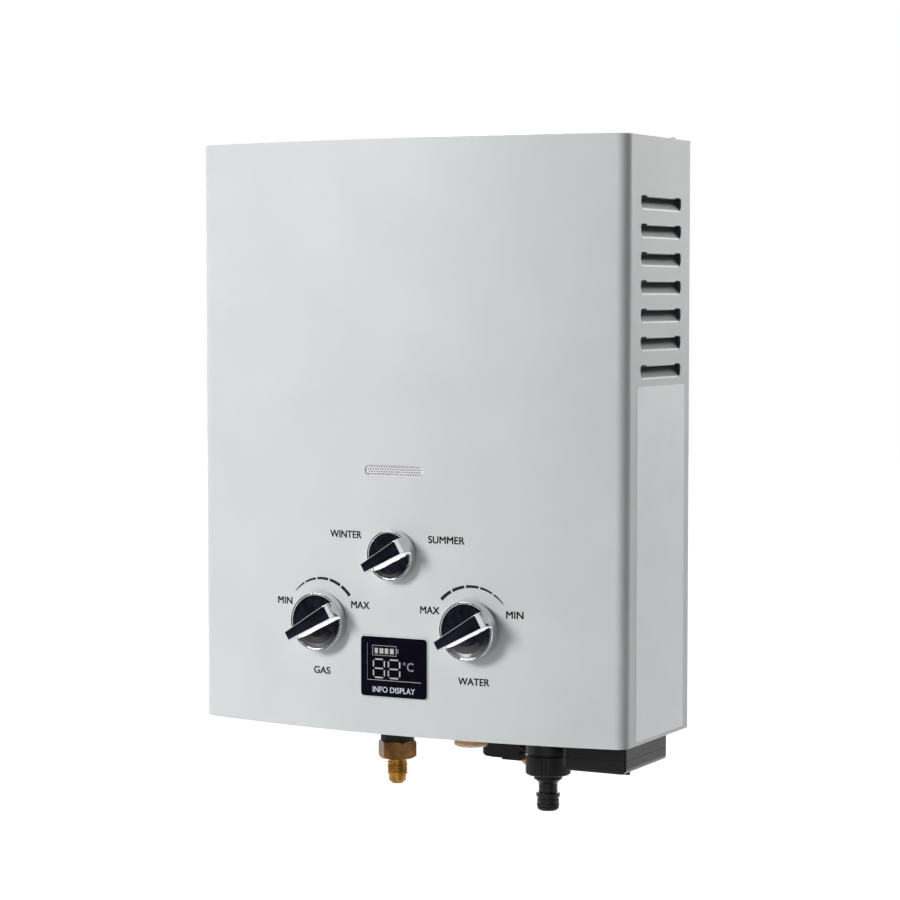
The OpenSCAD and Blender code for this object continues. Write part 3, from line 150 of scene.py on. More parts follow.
# Sizes in millimetres: patch is the width of a cloud of tone, grain that of a mark, depth its height
looks = {
    # Semi-gloss polyester powder, baked on: a faint orange peel breaks up the reflections
    "paint": {"name": "powder coated steel", "colours": ("#d3d7d7", "#d9dcdc"), "patch": 60, "grain": 0.9,
              "depth": 0.006, "rough": (0.4, 0.5), "shader": {"IOR": 1.5},
              # Painted shade inside the louvres, bounded in metres
              "louvreShade": {"colour": "#5d6a68", "lip": 0.1699, "deep": 0.1692,
                         "spans": {"Y": (-0.055, 0.045), "Z": (-0.09, 0.085)}}},
    # Hot dipped sheet: pale zinc crystals about a fingertip across
    "galvanised": {"name": "hot dipped galvanised sheet", "colours": ("#989da0", "#b2b6b7"), "spangle": 9,
                   "grain": 1.2, "depth": 0.01, "rough": (0.34, 0.5), "shader": {"Metallic": 1}},
    # Cold rolled stainless sheet: fine lines along the rolling direction
    "stainless": {"name": "rolled stainless sheet", "colours": ("#a9a8a4", "#c0bfbb"), "patch": 25,
                  "grain": 0.5, "drawn": (0.05, 1, 1), "depth": 0.004, "rough": (0.25, 0.42),
                  "shader": {"Metallic": 1}},
    # Perforated sheet dipped in pale enamel: bright between its holes, with painted shade on the holes'
    # walls
    "meshEnamel": {"name": "dipped enamel on steel", "colours": ("#f3eff4", "#faf8fb"), "patch": 6,
                   "grain": 0.4, "depth": 0.004, "rough": (0.3, 0.42), "holeShade": "#231d28",
                   "shader": {"IOR": 1.5}},
    # Drawn copper that has been through the flame once: brown clouds over pink metal
    "copper": {"name": "drawn copper", "colours": ("#8f4f30", "#c98a66"), "patch": 18, "grain": 0.7,
               "depth": 0.004, "rough": (0.28, 0.48), "shader": {"Metallic": 1}},
    # Hot forged brass: a brown skin, darker in clouds, with faint marks of the die
    "brass": {"name": "forged brass", "colours": ("#4d3820", "#765630"), "patch": 9, "grain": 0.45,
              "drawn": (0.06, 0.06, 1), "depth": 0.006, "rough": (0.26, 0.42), "shader": {"Metallic": 1}},
    # Screw cut brass: golden, with fine rings round the axis left by the tool
    "cutBrass": {"name": "turned brass", "colours": ("#7d5826", "#a87a3a"), "patch": 7, "grain": 0.4,
                 "drawn": (0.06, 0.06, 1), "depth": 0.006, "rough": (0.2, 0.34), "shader": {"Metallic": 1}},
    # Die cast aluminium: grey skin with shallow pits
    "aluminium": {"name": "die cast aluminium", "colours": ("#8b8d8f", "#a8aaab"), "patch": 12,
                  "grain": 0.8, "depth": 0.03, "rough": (0.42, 0.6), "shader": {"Metallic": 1}},
    # Chromed ABS: mirror bright, with the moulding's long soft waves
    "chrome": {"name": "chromed ABS", "colours": ("#c9ccce", "#d6d8da"), "patch": 14, "grain": 9,
               "depth": 0.004, "rough": (0.03, 0.07), "shader": {"Metallic": 1}},
    # Injection moulded ABS from a spark eroded tool: matt with a soft sheen
    "blackPlastic": {"name": "moulded black ABS", "colours": ("#0a0a0b", "#111113"), "patch": 20,
                     "grain": 0.35, "depth": 0.008, "rough": (0.28, 0.38),
                     "shader": {"IOR": 1.52, "Specular IOR Level": 0.2}},
    # Cast acrylic printed black behind: deep gloss
    "displayBlack": {"name": "black backed acrylic", "colours": ("#0d0c17", "#100f1b"), "patch": 30,
                     "grain": 12, "depth": 0.002, "rough": (0.05, 0.09), "shader": {"IOR": 1.49}},
    # Flame polished acrylic edge, pale: partly the unprinted edge and partly a painted highlight along the
    # window's rim
    "acrylicEdgeHighlight": {"name": "polished acrylic edge", "colours": ("#dfe3e4", "#eceeee"), "patch": 6,
                    "grain": 1.5, "depth": 0.002, "rough": (0.08, 0.14), "shader": {"IOR": 1.49}},
    # Thin moulded polyethylene: milky, lets the brass under it show as a warm tint
    "milkyCap": {"name": "moulded polyethylene", "colours": ("#fbf1e8", "#fff9f3"), "patch": 10,
                 "grain": 0.6, "depth": 0.008, "rough": (0.22, 0.32),
                 "shader": {"IOR": 1.51, "Transmission Weight": 0.25},
                 "core": {"colour": "#eeb672", "middle": -0.4045, "half": 0.0015, "fade": 0.004}},
    # Pressed nitrile rubber: dull black with a dusty bloom
    "rubber": {"name": "pressed nitrile rubber", "colours": ("#181716", "#25221f"), "patch": 6,
               "grain": 0.4, "depth": 0.015, "rough": (0.6, 0.78),
               "shader": {"IOR": 1.52, "Specular IOR Level": 0.25}},
    # Glazed alumina: smooth white with faint waviness
    "ceramic": {"name": "glazed alumina", "colours": ("#e4e1da", "#f0eee9"), "patch": 5, "grain": 2,
                "depth": 0.006, "rough": (0.12, 0.2), "shader": {"IOR": 1.7}},
    # Extruded silicone sleeve: satin red
    "redLead": {"name": "extruded silicone", "colours": ("#8f1c16", "#a8251d"), "patch": 12, "grain": 0.6,
                "depth": 0.008, "rough": (0.42, 0.55), "shader": {"IOR": 1.43}},
    # Glass and epoxy board under green resist
    "board": {"name": "resist coated glass epoxy", "colours": ("#15532f", "#1d6b3d"), "patch": 3,
              "grain": 1.1, "depth": 0.02, "rough": (0.3, 0.45), "shader": {"IOR": 1.55}},
    # Printed film shrunk round a steel can
    "cellFilm": {"name": "shrunk cell film", "colours": ("#2b3c58", "#35486a"), "patch": 22, "grain": 2.5,
                 "depth": 0.01, "rough": (0.22, 0.3), "shader": {"IOR": 1.5}},
    # Zinc plated spring steel: bluish bright
    "plated": {"name": "zinc plated steel", "colours": ("#9fa4a8", "#b9bdc0"), "patch": 4, "grain": 0.4,
               "depth": 0.006, "rough": (0.22, 0.36), "shader": {"Metallic": 1}},
    # Spring steel with a hot blackened skin: dull, nearly as dark as the plastic round it
    "blackened": {"name": "blackened spring steel", "colours": ("#1c1b1c", "#2a282a"), "patch": 4,
                  "grain": 0.4, "depth": 0.006, "rough": (0.4, 0.55), "shader": {"Metallic": 1}},
    # Pad printed ink: thin, satin, with slightly open grain
    "blackInk": {"name": "pad printed black ink", "colours": ("#0b0b0d", "#111113"), "patch": 5,
                 "grain": 0.3, "depth": 0.004, "rough": (0.5, 0.65),
                 "shader": {"IOR": 1.5, "Specular IOR Level": 0.2}},
    # The display's segments are a warm grey film, its caption a cooler and its frame a dimmer one
    "segmentInk": {"name": "screen printed warm grey ink", "colours": ("#b8b2af", "#c2bdba"), "patch": 3,
                   "grain": 0.3, "depth": 0.003, "rough": (0.35, 0.45), "shader": {"IOR": 1.5}},
    "captionInk": {"name": "screen printed pale ink", "colours": ("#c2d0da", "#cedae2"), "patch": 3,
                   "grain": 0.3, "depth": 0.003, "rough": (0.35, 0.45), "shader": {"IOR": 1.5}},
    "frameInk": {"name": "screen printed dim grey ink", "colours": ("#84889a", "#9094a3"), "patch": 3,
                 "grain": 0.3, "depth": 0.003, "rough": (0.35, 0.45), "shader": {"IOR": 1.5}},
    # Self-adhesive vinyl with a satin top coat
    "vinyl": {"name": "satin vinyl film", "colours": ("#f2f3f5", "#f8f9fa"), "patch": 35, "grain": 0.7,
              "depth": 0.004, "rough": (0.38, 0.48), "shader": {"IOR": 1.5, "Specular IOR Level": 0.85}},
}
finishes = {key: grainedFinish(look) for key, look in looks.items()}

wornBy = {
    "paint": "front_cover top_panel",
    "galvanised": "back_plate bottom_plate flue_hood exchanger_brackets switch_bracket",
    "stainless": "burner_frame burner_bars inlet_filter",
    "meshEnamel": "sight_mesh",
    "copper": "chamber_shell fin_pack exchanger_tube hot_pipe cold_pipe",
    "brass": "pipe_nuts gas_nozzles water_valve gas_spindle water_spindle season_spindle gas_inlet",
    "cutBrass": "hot_outlet water_inlet relief_valve",
    "aluminium": "gas_manifold season_valve gas_link_pipe gas_valve diaphragm_cover",
    "blackPlastic": "thermal_cutout gas_solenoid micro_switch control_box display_frame inlet_collar "
                    "hose_spigot battery_box battery_lid relief_lever",
    "displayBlack": "display_lens",
    "milkyCap": "outlet_cap",
    "rubber": "diaphragm gas_ring spigot_seal",
    "ceramic": "electrodes",
    "redLead": "electrode_leads",
    "board": "display_board",
    "cellFilm": "battery_cells",
    "plated": "cover_screws diaphragm_screws push_rod top_contact lid_contact",
    "blackened": "lid_pin relief_pin",
    "chrome": "gas_knob water_knob season_knob",
}
for key, names in wornBy.items():
    for name in names.split():
        mesh = nodes[name].data
        mesh.materials.clear()
        mesh.materials.append(finishes[key])
print("finishes on", sum(len(names.split()) for names in wornBy.values()), "nodes")


def finishedMesh(bm, name, sharp=35):
    bmesh.ops.remove_doubles(bm, verts=bm.verts, dist=1e-7)
    bmesh.ops.recalc_face_normals(bm, faces=bm.faces)
    mesh = bpy.data.meshes.new(name)
    bm.to_mesh(mesh)
    bm.free()
    mesh.shade_smooth()
    mesh.set_sharp_from_angle(angle=math.radians(sharp))
    return mesh


def addPiece(name, mesh, body, finishNames, stoodFor=()):
    for key in finishNames:
        mesh.materials.append(finishes[key])
    piece = bpy.data.objects.new(name, mesh)
    bpy.context.scene.collection.objects.link(piece)
    # Keeps flat faces flat beside small rounds
    piece.modifiers.new("weighted", "WEIGHTED_NORMAL").keep_sharp = True
    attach(piece, body)
    if stoodFor:
        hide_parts(*stoodFor)
    return piece


def spunProfile(bm, points, steps, rounding=0):  # turns a profile of (radius, height) about the Z axis
    corners = [bm.verts.new((radius, 0, height)) for radius, height in points]
    edges = [bm.edges.new(pair) for pair in zip(corners, corners[1:])]
    if rounding:
        made = bmesh.ops.bevel(bm, geom=corners[1:-1], offset=rounding, affect="VERTICES", segments=3,
                               profile=0.5, material=-1)
        corners = [v for v in corners if v.is_valid] + made["verts"]
        corners = list(dict.fromkeys(corners))
        edges = list({edge for corner in corners for edge in corner.link_edges})
    turned = bmesh.ops.spin(bm, geom=corners + edges, cent=(0, 0, 0), axis=(0, 0, 1), angle=2 * math.pi,
                            steps=steps, use_merge=True)
    bmesh.ops.remove_doubles(bm, verts=bm.verts, dist=1e-5)
    return turned


knobs = {
    "places": {"gas": (-60, -128.61, 78, 21), "water": (60, -128.61, 78, 21),
               "season": (0, -129.6, 128, 18)},
    "pointerAngle": 30,
    "skirt": 7, "gripHeight": 11.5, "wide": 11.5, "narrow": 7,
    "hubRadius": 8, "hubDepth": 11, "boreRadius": 4.1,
    "rim": 0.9, "step": 0.35, "crown": 0.5, "lean": 0.15, "noseRound": 3.6, "edgeRound": 0.5,
    "crownCurve": ((0.8, 0.36), (0.55, 0.7), (0.25, 0.94), (0, 1)),
    # share of the radius, share of the crown
}


def knobMesh(kind, place):
    x, y, z, radius = place
    skirt, top = knobs["skirt"], knobs["skirt"] + knobs["gripHeight"]
    face, disc = radius - 0.5 - knobs["rim"], skirt - knobs["step"]
    bm = bmesh.new()
    spunProfile(bm, [
        (0, 2), (knobs["boreRadius"], 2), (knobs["boreRadius"], -knobs["hubDepth"]),
        (knobs["hubRadius"], -knobs["hubDepth"]), (knobs["hubRadius"], 0), (radius - 0.2, 0), (radius, 0.5),
        (radius - 0.15, skirt - 0.7), (radius - 0.5, skirt), (face, skirt), (face - 0.3, disc),
        *((face * out, disc + knobs["crown"] * up) for out, up in knobs["crownCurve"])], 96, 0.12)
    grip = bmesh.ops.create_cube(bm, size=1)["verts"]
    for corner in grip:  # a wedge in plan, leaning in a little on its long sides
        front, side, up = (c > 0 for c in corner.co)
        half = (knobs["wide"] if front else knobs["narrow"]) / 2 - (knobs["lean"] if up else 0)
        corner.co = (radius - 0.5 if front else 0.6 - radius, half * (1 if side else -1),
                     top if up else skirt - 3)
    edges = {edge for corner in grip for edge in corner.link_edges}
    nose = [e for e in edges if all(v.co.x > 0 and v.co.z > skirt for v in e.verts)]
    made = bmesh.ops.bevel(bm, geom=nose, offset=knobs["noseRound"], affect="EDGES", segments=10,
                           profile=0.5, material=-1)
    island = set(made["verts"]) | {v for v in grip if v.is_valid}
    for _ in range(3):
        island |= {edge.other_vert(v) for v in list(island) for edge in v.link_edges}
    sharp = {e for v in island for e in v.link_edges
             if len(e.link_faces) == 2 and e.calc_face_angle() > math.radians(40)
             and e.verts[0].co.z + e.verts[1].co.z > 2 * (skirt - 2)}
    bmesh.ops.bevel(bm, geom=list(sharp), offset=knobs["edgeRound"], affect="EDGES", segments=3,
                    profile=0.5, material=-1)
    place = (Matrix.Translation(toFrame(x, y, z)) @ Matrix.Rotation(math.pi / 2, 4, "X")
             @ Matrix.Rotation(math.radians(knobs["pointerAngle"]), 4, "Z") @ Matrix.Scale(0.001, 4))
    bmesh.ops.transform(bm, matrix=place, verts=bm.verts)
    return finishedMesh(bm, kind + "Dial", 42)


for kind, place in knobs["places"].items():
    addPiece(kind + "_dial", knobMesh(kind, place), kind + "_knob", ["chrome"],
             [kind + "_knob"])
print("knobs made")

panelPrint = {
    "proud": 0.05, "sunk": 0.05,
    # words, left, bottom, width, height
    "words": [("WINTER", -52.5, 138.6, 26.1, 5.0), ("SUMMER", 27.3, 137.6, 27.6, 5.0),
              ("GAS", -66.9, 40.0, 13.9, 4.9), ("MIN", -98.9, 88.3, 12.7, 4.9),
              ("MAX", -34.9, 88.7, 14.9, 4.9), ("WATER", 50.2, 39.4, 23.3, 4.9),
              ("MAX", 21.0, 88.0, 14.8, 4.9), ("MIN", 86.0, 87.5, 12.4, 4.9)],
    # Each word is struck four times, which makes it bold
    "strikes": ((-0.17, -0.13), (0.17, -0.13), (-0.17, 0.13), (0.17, 0.13)),
    "arcRadius": 30.5, "arcStart": 138, "arcEnd": 39, "arcParts": 5, "arcGap": 2.6,
    "thin": 0.5, "thick": 2.5, "swell": 0.6, "knobHeight": 78,
}


def addWords(bm, words, left, bottom, width, height, bold=0):  # flat letters in the XZ plane
    curve = bpy.data.curves.new("words", "FONT")
    curve.body = words
    curve.offset = bold
    writer = bpy.data.objects.new("words", curve)
    letters = bmesh.new()
    letters.from_mesh(writer.to_mesh())
    xs = [v.co.x for v in letters.verts]
    ys = [v.co.y for v in letters.verts]
    for v in letters.verts:
        v.co = (left + (v.co.x - min(xs)) * width / (max(xs) - min(xs)), 0,
                bottom + (v.co.y - min(ys)) * height / (max(ys) - min(ys)))
    flat = bpy.data.meshes.new("letters")
    letters.to_mesh(flat)
    letters.free()
    bm.from_mesh(flat)
    bpy.data.objects.remove(writer)
    bpy.data.meshes.remove(flat)


def addArc(bm, centre, growing):
    size = panelPrint
    span = (size["arcStart"] - size["arcEnd"] + size["arcGap"]) / size["arcParts"]
    for part in range(size["arcParts"]):
        start = size["arcStart"] - part * span
        turn = math.radians(start)
        pole = Vector((math.cos(turn), 0, math.sin(turn)))
        pair = [bm.verts.new(pole * r) for r in (size["arcRadius"] - 0.5, size["arcRadius"] + 0.5)]
        edge = bm.edges.new(pair)
        before = set(bm.verts)
        bmesh.ops.spin(bm, geom=pair + [edge], cent=(0, 0, 0), axis=(0, 1, 0),
                       angle=math.radians(span - size["arcGap"]), steps=8)
        for v in pair + [v for v in bm.verts if v not in before]:
            angle = math.degrees(math.atan2(v.co.z, v.co.x))
            along = (size["arcStart"] - angle) / (size["arcStart"] - size["arcEnd"])
            along = min(max(along if growing else 1 - along, 0), 1)
            wide = size["thin"] + (size["thick"] - size["thin"]) * along ** size["swell"]
            v.co = v.co.normalized() * (size["arcRadius"] + (v.co.length - size["arcRadius"]) * wide)
            v.co += Vector((centre, 0, size["knobHeight"]))


def thickened(bm, depth):  # gives flat print its thickness, towards the back
    made = bmesh.ops.extrude_face_region(bm, geom=bm.faces[:], use_keep_orig=True)
    moved = [g for g in made["geom"] if isinstance(g, bmesh.types.BMVert)]
    bmesh.ops.translate(bm, verts=moved, vec=(0, depth, 0))


bm = bmesh.new()
for words, left, bottom, width, height in panelPrint["words"]:
    for right, up in panelPrint["strikes"]:
        addWords(bm, words, left + right, bottom + up, width, height)
addArc(bm, -60, True)
addArc(bm, 60, False)
thickened(bm, panelPrint["proud"] + panelPrint["sunk"])
for v in bm.verts:
    v.co = toFrame(v.co.x, frontY(v.co.x) - panelPrint["proud"] + v.co.y, v.co.z)
addPiece("panel_lettering", finishedMesh(bm, "panelLettering"), "root", ["blackInk"])
print("panel lettering made")

display = {
    "width": 54.4, "height": 43.9, "centre": 48.3, "corner": 3.2, "front": -129.3, "thick": 2.4,
    "chamfer": 0.7,
    "proud": 0.03, "line": 0.35, "frameLine": 0.5, "thinLine": 0.22, "stroke": 1.05, "gap": 0.9,
    "bold": 0.014,
    # left, top, right and bottom on the black face, as fractions of its width and height
    "battery": (0.174, 0.143, 0.54, 0.316), "batteryTip": (0.54, 0.197, 0.57, 0.262),
    "bars": ((0.211, 0.26), (0.285, 0.343), (0.364, 0.417), (0.442, 0.50)), "barTop": 0.19, "barLow": 0.28,
    "digits": ((0.182, 0.368), (0.409, 0.60)), "digitTop": 0.365, "digitLow": 0.695,
    "unit": (0.70, 0.405, 0.80, 0.55), "caption": (0.178, 0.833, 0.822, 0.93),
    "degree": (0.64, 0.45), "degreeSize": 2.1, "upright": (0.095, 0.11, 0.72), "rule": (0.095, 0.913, 0.73),
}


def flatBox(bm, left, bottom, right, top):  # a flat rectangle in the XZ plane
    made = bmesh.ops.create_grid(bm, x_segments=1, y_segments=1, size=0.5)["verts"]
    for v in made:
        v.co = (left if v.co.x < 0 else right, 0, bottom if v.co.y < 0 else top)
    return made


def windowMesh():
    bm = bmesh.new()
    halfW, halfH = display["width"] / 2, display["height"] / 2
    made = flatBox(bm, -halfW, -halfH, halfW, halfH)
    bmesh.ops.bevel(bm, geom=made, offset=display["corner"], affect="VERTICES", segments=6, profile=0.5,
                    material=-1)
    thickened(bm, display["thick"])
    bmesh.ops.recalc_face_normals(bm, faces=bm.faces)
    rim = [e for e in bm.edges if all(abs(v.co.y) < 1e-6 for v in e.verts)]
    cut = bmesh.ops.bevel(bm, geom=rim, offset=display["chamfer"], affect="EDGES", segments=1, profile=0.5,
                          material=-1)
    # The chamfer takes the pale edge finish, partly a painted highlight
    for face in cut["faces"]:
        face.material_index = 1
    for face in bm.faces:
        if abs(face.normal.y) > 0.99:
            face.material_index = 0
    for v in bm.verts:
        v.co = toFrame(v.co.x, v.co.y + display["front"], v.co.z + display["centre"])
    return finishedMesh(bm, "displayWindow", 25)


addPiece("display_window", windowMesh(), "root", ["displayBlack", "acrylicEdgeHighlight"],
         ["display_lens"])


def displayX(u):  # places on the black face, from 0 at its left to 1 at its right
    return (u - 0.5) * (display["width"] - 2 * display["chamfer"])


def displayZ(v):  # and from 0 at its top to 1 at its bottom
    return display["centre"] + (0.5 - v) * (display["height"] - 2 * display["chamfer"])


def segment(bm, left, bottom, right, top):  # one bar of a digit, with its ends cut to points
    made = flatBox(bm, left, bottom, right, top)
    tip = min(right - left, top - bottom) * 0.49
    bmesh.ops.bevel(bm, geom=made, offset=tip, affect="VERTICES", segments=1, profile=0.5, material=-1)


def addDigit(bm, left, right, top, bottom):
    thick, gap = display["stroke"], display["gap"]
    middle = (top + bottom) / 2
    for height in (top, middle, bottom):
        low = min(max(height - thick / 2, bottom), top - thick)
        segment(bm, left + thick / 2 + gap, low, right - thick / 2 - gap, low + thick)
    for side in (left, right - thick):
        segment(bm, side, bottom + thick / 2 + gap, side + thick, middle - gap)
        segment(bm, side, middle + gap, side + thick, top - thick / 2 - gap)


def addOutline(bm, left, bottom, right, top, line):
    flatBox(bm, left, bottom, right, bottom + line)
    flatBox(bm, left, top - line, right, top)
    flatBox(bm, left, bottom + line, left + line, top - line)
    flatBox(bm, right - line, bottom + line, right, top - line)


def inkedSince(bm, count, index):  # gives the faces made since the count their ink
    bm.faces.ensure_lookup_table()
    for face in bm.faces[count:]:
        face.material_index = index
    return len(bm.faces)


def onFace(box):  # left, bottom, right and top in millimetres
    left, top, right, bottom = box
    return displayX(left), displayZ(bottom), displayX(right), displayZ(top)


def addBoxWords(bm, words, box):
    left, bottom, right, top = onFace(box)
    addWords(bm, words, left, bottom, right - left, top - bottom, display["bold"])


bm = bmesh.new()
left, top, bottom = display["upright"]
flatBox(bm, displayX(left), displayZ(bottom), displayX(left) + display["thinLine"], displayZ(top))
addOutline(bm, *onFace(display["battery"]), display["frameLine"])
addOutline(bm, *onFace(display["batteryTip"]), display["frameLine"])
left, bottom = display["degree"]
addWords(bm, "°", displayX(left), displayZ(bottom), display["degreeSize"], display["degreeSize"])
addBoxWords(bm, "C", display["unit"])
count = inkedSince(bm, 0, 2)
left, right, low = display["rule"]
flatBox(bm, displayX(left), displayZ(low), displayX(right), displayZ(low) + display["line"])
for left, right in display["bars"]:
    flatBox(bm, *onFace((left, display["barTop"], right, display["barLow"])))
for left, right in display["digits"]:
    addDigit(bm, displayX(left), displayX(right), displayZ(display["digitTop"]),
             displayZ(display["digitLow"]))
count = inkedSince(bm, count, 0)
addBoxWords(bm, "INFO DISPLAY", display["caption"])
inkedSince(bm, count, 1)
thickened(bm, 2 * display["proud"])
for v in bm.verts:
    v.co = toFrame(v.co.x, display["front"] - display["proud"] + v.co.y, v.co.z)
addPiece("display_print", finishedMesh(bm, "displayPrint"), "root",
         ["segmentInk", "captionInk", "frameInk"])
print("display made")

inlet = {
    "x": -39.3, "y": -52, "flats": 25, "hexTurn": 45, "hexTop": -17, "hexLow": -30.4, "chamfer": 1.8,
    "threadRadius": 7.94, "rootRadius": 7.1, "threadTop": -33.4, "threadLow": -42.5, "pitch": 1.41,
    "ridgeSink": 0.3, "ridgeRise": 0.5, "ridgeCrest": 0.25, "ridgeBase": 1.25, "stepsPerTurn": 48,
    # radius and height from the bore round the nose, the cone, the thread's root and the neck
    "turnedEnd": [(3.2, -30), (3.2, -49.4), (4.2, -49.4), (6.4, -47.2), (6.4, -43), (7.1, -42.6),
                  (7.1, -33.2), (6.7, -32.9), (6.7, -30.2), (9.8, -30.2), (9.8, -29)],
    # and round the stub inside the case
    "stub": [(3.2, -18), (10, -18), (10, -3), (10, 2.2), (7.5, 2.2), (7.5, 31), (3.2, 31)],
}


def cutWith(bm, cutter, operation, name):  # the exact boolean of two closed meshes
    objects = []
    for part, source in (("Body", bm), ("Cutter", cutter)):
        mesh = bpy.data.meshes.new(name + part)
        bmesh.ops.recalc_face_normals(source, faces=source.faces)
        source.to_mesh(mesh)
        source.free()
        objects.append(bpy.data.objects.new(name + part, mesh))
        bpy.context.scene.collection.objects.link(objects[-1])
    body, tool = objects
    boolean = body.modifiers.new("cut", "BOOLEAN")
    boolean.operation, boolean.object, boolean.solver = operation, tool, "EXACT"
    cut = body.evaluated_get(bpy.context.evaluated_depsgraph_get()).to_mesh()
    result = bmesh.new()
    result.from_mesh(cut)
    for used in objects:
        bpy.data.objects.remove(used)
    return result


def inletMesh():
    size = inlet
    corner = size["flats"] / math.sqrt(3)
    hexagon = bmesh.new()
    height = size["hexTop"] - size["hexLow"]
    bmesh.ops.create_cone(hexagon, cap_ends=True, segments=6, radius1=corner, radius2=corner, depth=height,
                          matrix=Matrix.Translation((0, 0, size["hexLow"] + height / 2))
                          @ Matrix.Rotation(math.radians(size["hexTurn"]), 4, "Z"))
    turned = bmesh.new()
    flat = size["flats"] / 2 - 0.3
    spunProfile(turned, [(0, size["hexLow"] - 0.01), (flat, size["hexLow"] - 0.01),
                         (corner + 0.3, size["hexLow"] + size["chamfer"]),
                         (corner + 0.3, size["hexTop"] - size["chamfer"]),
                         (flat, size["hexTop"] + 0.01), (0, size["hexTop"] + 0.01)], 96)
    bm = cutWith(hexagon, turned, "INTERSECT", "hexagon")
    root = size["rootRadius"]
    spunProfile(bm, size["turnedEnd"], 72, 0.15)
    spunProfile(bm, size["stub"], 72)
    foot, crest, rise = root - size["ridgeSink"], size["threadRadius"], size["ridgeRise"]
    outline = (foot, 0), (crest, rise), (crest, rise + size["ridgeCrest"]), (foot, size["ridgeBase"])
    ridge = [bm.verts.new((radius, 0, size["threadLow"] + up)) for radius, up in outline]
    sides = [bm.edges.new(pair) for pair in zip(ridge, ridge[1:] + ridge[:1])]
    turns = (size["threadTop"] - size["threadLow"] - size["ridgeBase"]) / size["pitch"]
    steps = round(size["stepsPerTurn"] * turns)
    bmesh.ops.spin(bm, geom=ridge + sides, cent=(0, 0, 0), axis=(0, 0, 1), angle=2 * math.pi * turns,
                   steps=steps, dvec=(0, 0, turns * size["pitch"] / steps))
    bmesh.ops.holes_fill(bm, edges=[e for e in bm.edges if e.is_boundary], sides=4)
    for face in bm.faces:
        face.material_index = int(face.calc_center_median().z < size["hexLow"] - 0.05)
    place = Matrix.Translation(toFrame(size["x"], size["y"], 0)) @ Matrix.Scale(0.001, 4)
    bmesh.ops.transform(bm, matrix=place, verts=bm.verts)
    return finishedMesh(bm, "gasFitting", 25)


addPiece("gas_fitting", inletMesh(), "root", ["brass", "cutBrass"], ["gas_inlet"])
print("gas fitting made")

screws = {
    "x": 161, "y": -10, "height": 420, "recess": 0.9, "recessWide": 4.2, "recessDeep": 1.4,
    "headHeight": 2.6,
    # radius and height round the domed head and the shank
    "profile": [(0, -2.6), (2.1, -2.4), (3.3, -1.5), (3.7, 0), (2, 0), (2, 8), (0, 8)],
}


def screwMesh():
    size = screws
    one = bmesh.new()
    spunProfile(one, size["profile"], 40, 0.2)
    for turn in (0, 90):  # the two slots of the cross recess, one after the other
        slot = bmesh.new()
        bmesh.ops.create_cube(slot, size=1, matrix=Matrix.Rotation(math.radians(turn), 4, "Z")
                              @ Matrix.Translation((0, 0, -size["headHeight"]))
                              @ Matrix.Diagonal((size["recessWide"], size["recess"], 2 * size["recessDeep"],
                                                 1)))
        one = cutWith(one, slot, "DIFFERENCE", "screw")
    mesh = bpy.data.meshes.new("screw")
    one.to_mesh(mesh)
    one.free()
    bm = bmesh.new()
    for x in (-size["x"], size["x"]):
        for z, flip in ((0, 0), (size["height"], math.pi)):
            bm.from_mesh(mesh)
            new = bm.verts[-len(mesh.vertices):]
            bmesh.ops.transform(bm, verts=new, matrix=Matrix.Translation(toFrame(x, size["y"], z))
                                @ Matrix.Rotation(flip, 4, "X") @ Matrix.Scale(0.001, 4))
    bpy.data.meshes.remove(mesh)
    return finishedMesh(bm, "coverScrewHeads", 25)


addPiece("cover_screw_heads", screwMesh(), "root", ["plated"], ["cover_screws"])
print("screws made")

label = {"front": -92.7, "back": -9, "low": 2.5, "high": 247.7, "thick": 0.12, "corner": 1.5}
bm = bmesh.new()
made = flatBox(bm, label["front"], label["low"], label["back"], label["high"])
bmesh.ops.bevel(bm, geom=made, offset=label["corner"], affect="VERTICES", segments=4, profile=0.5,
                material=-1)
thickened(bm, label["thick"])
for v in bm.verts:
    v.co = toFrame(case["halfWidth"] + label["thick"] - v.co.y, v.co.x, v.co.z)
addPiece("side_label", finishedMesh(bm, "sideLabel"), "root", ["vinyl"])
print("label made")

stage = {"floor": -1.15, "floorSize": 30, "ambient": "#8f9295", "ambientStrength": 0.15,
         "glowNear": 0.3, "fadeFrom": 1.2, "fadeTo": 2.4, "cardHigh": -0.72, "cardLow": -1.0,
         "cardCloud": 9}


def lookAt(thing, place, target):
    thing.location = place
    thing.rotation_euler = (Vector(target) - Vector(place)).to_track_quat("-Z", "Y").to_euler()


def addLamp(name, place, power, width, height, target=(0, -0.1, -0.2), colour="#ffffff"):
    lamp = bpy.data.lights.new(name, "AREA")
    lamp.shape, lamp.size, lamp.size_y = "RECTANGLE", width, height
    lamp.energy = power
    lamp.color = linearColour(colour)[:3]
    holder = bpy.data.objects.new(name, lamp)
    bpy.context.scene.collection.objects.link(holder)
    lookAt(holder, place, target)
    holder.visible_camera = False


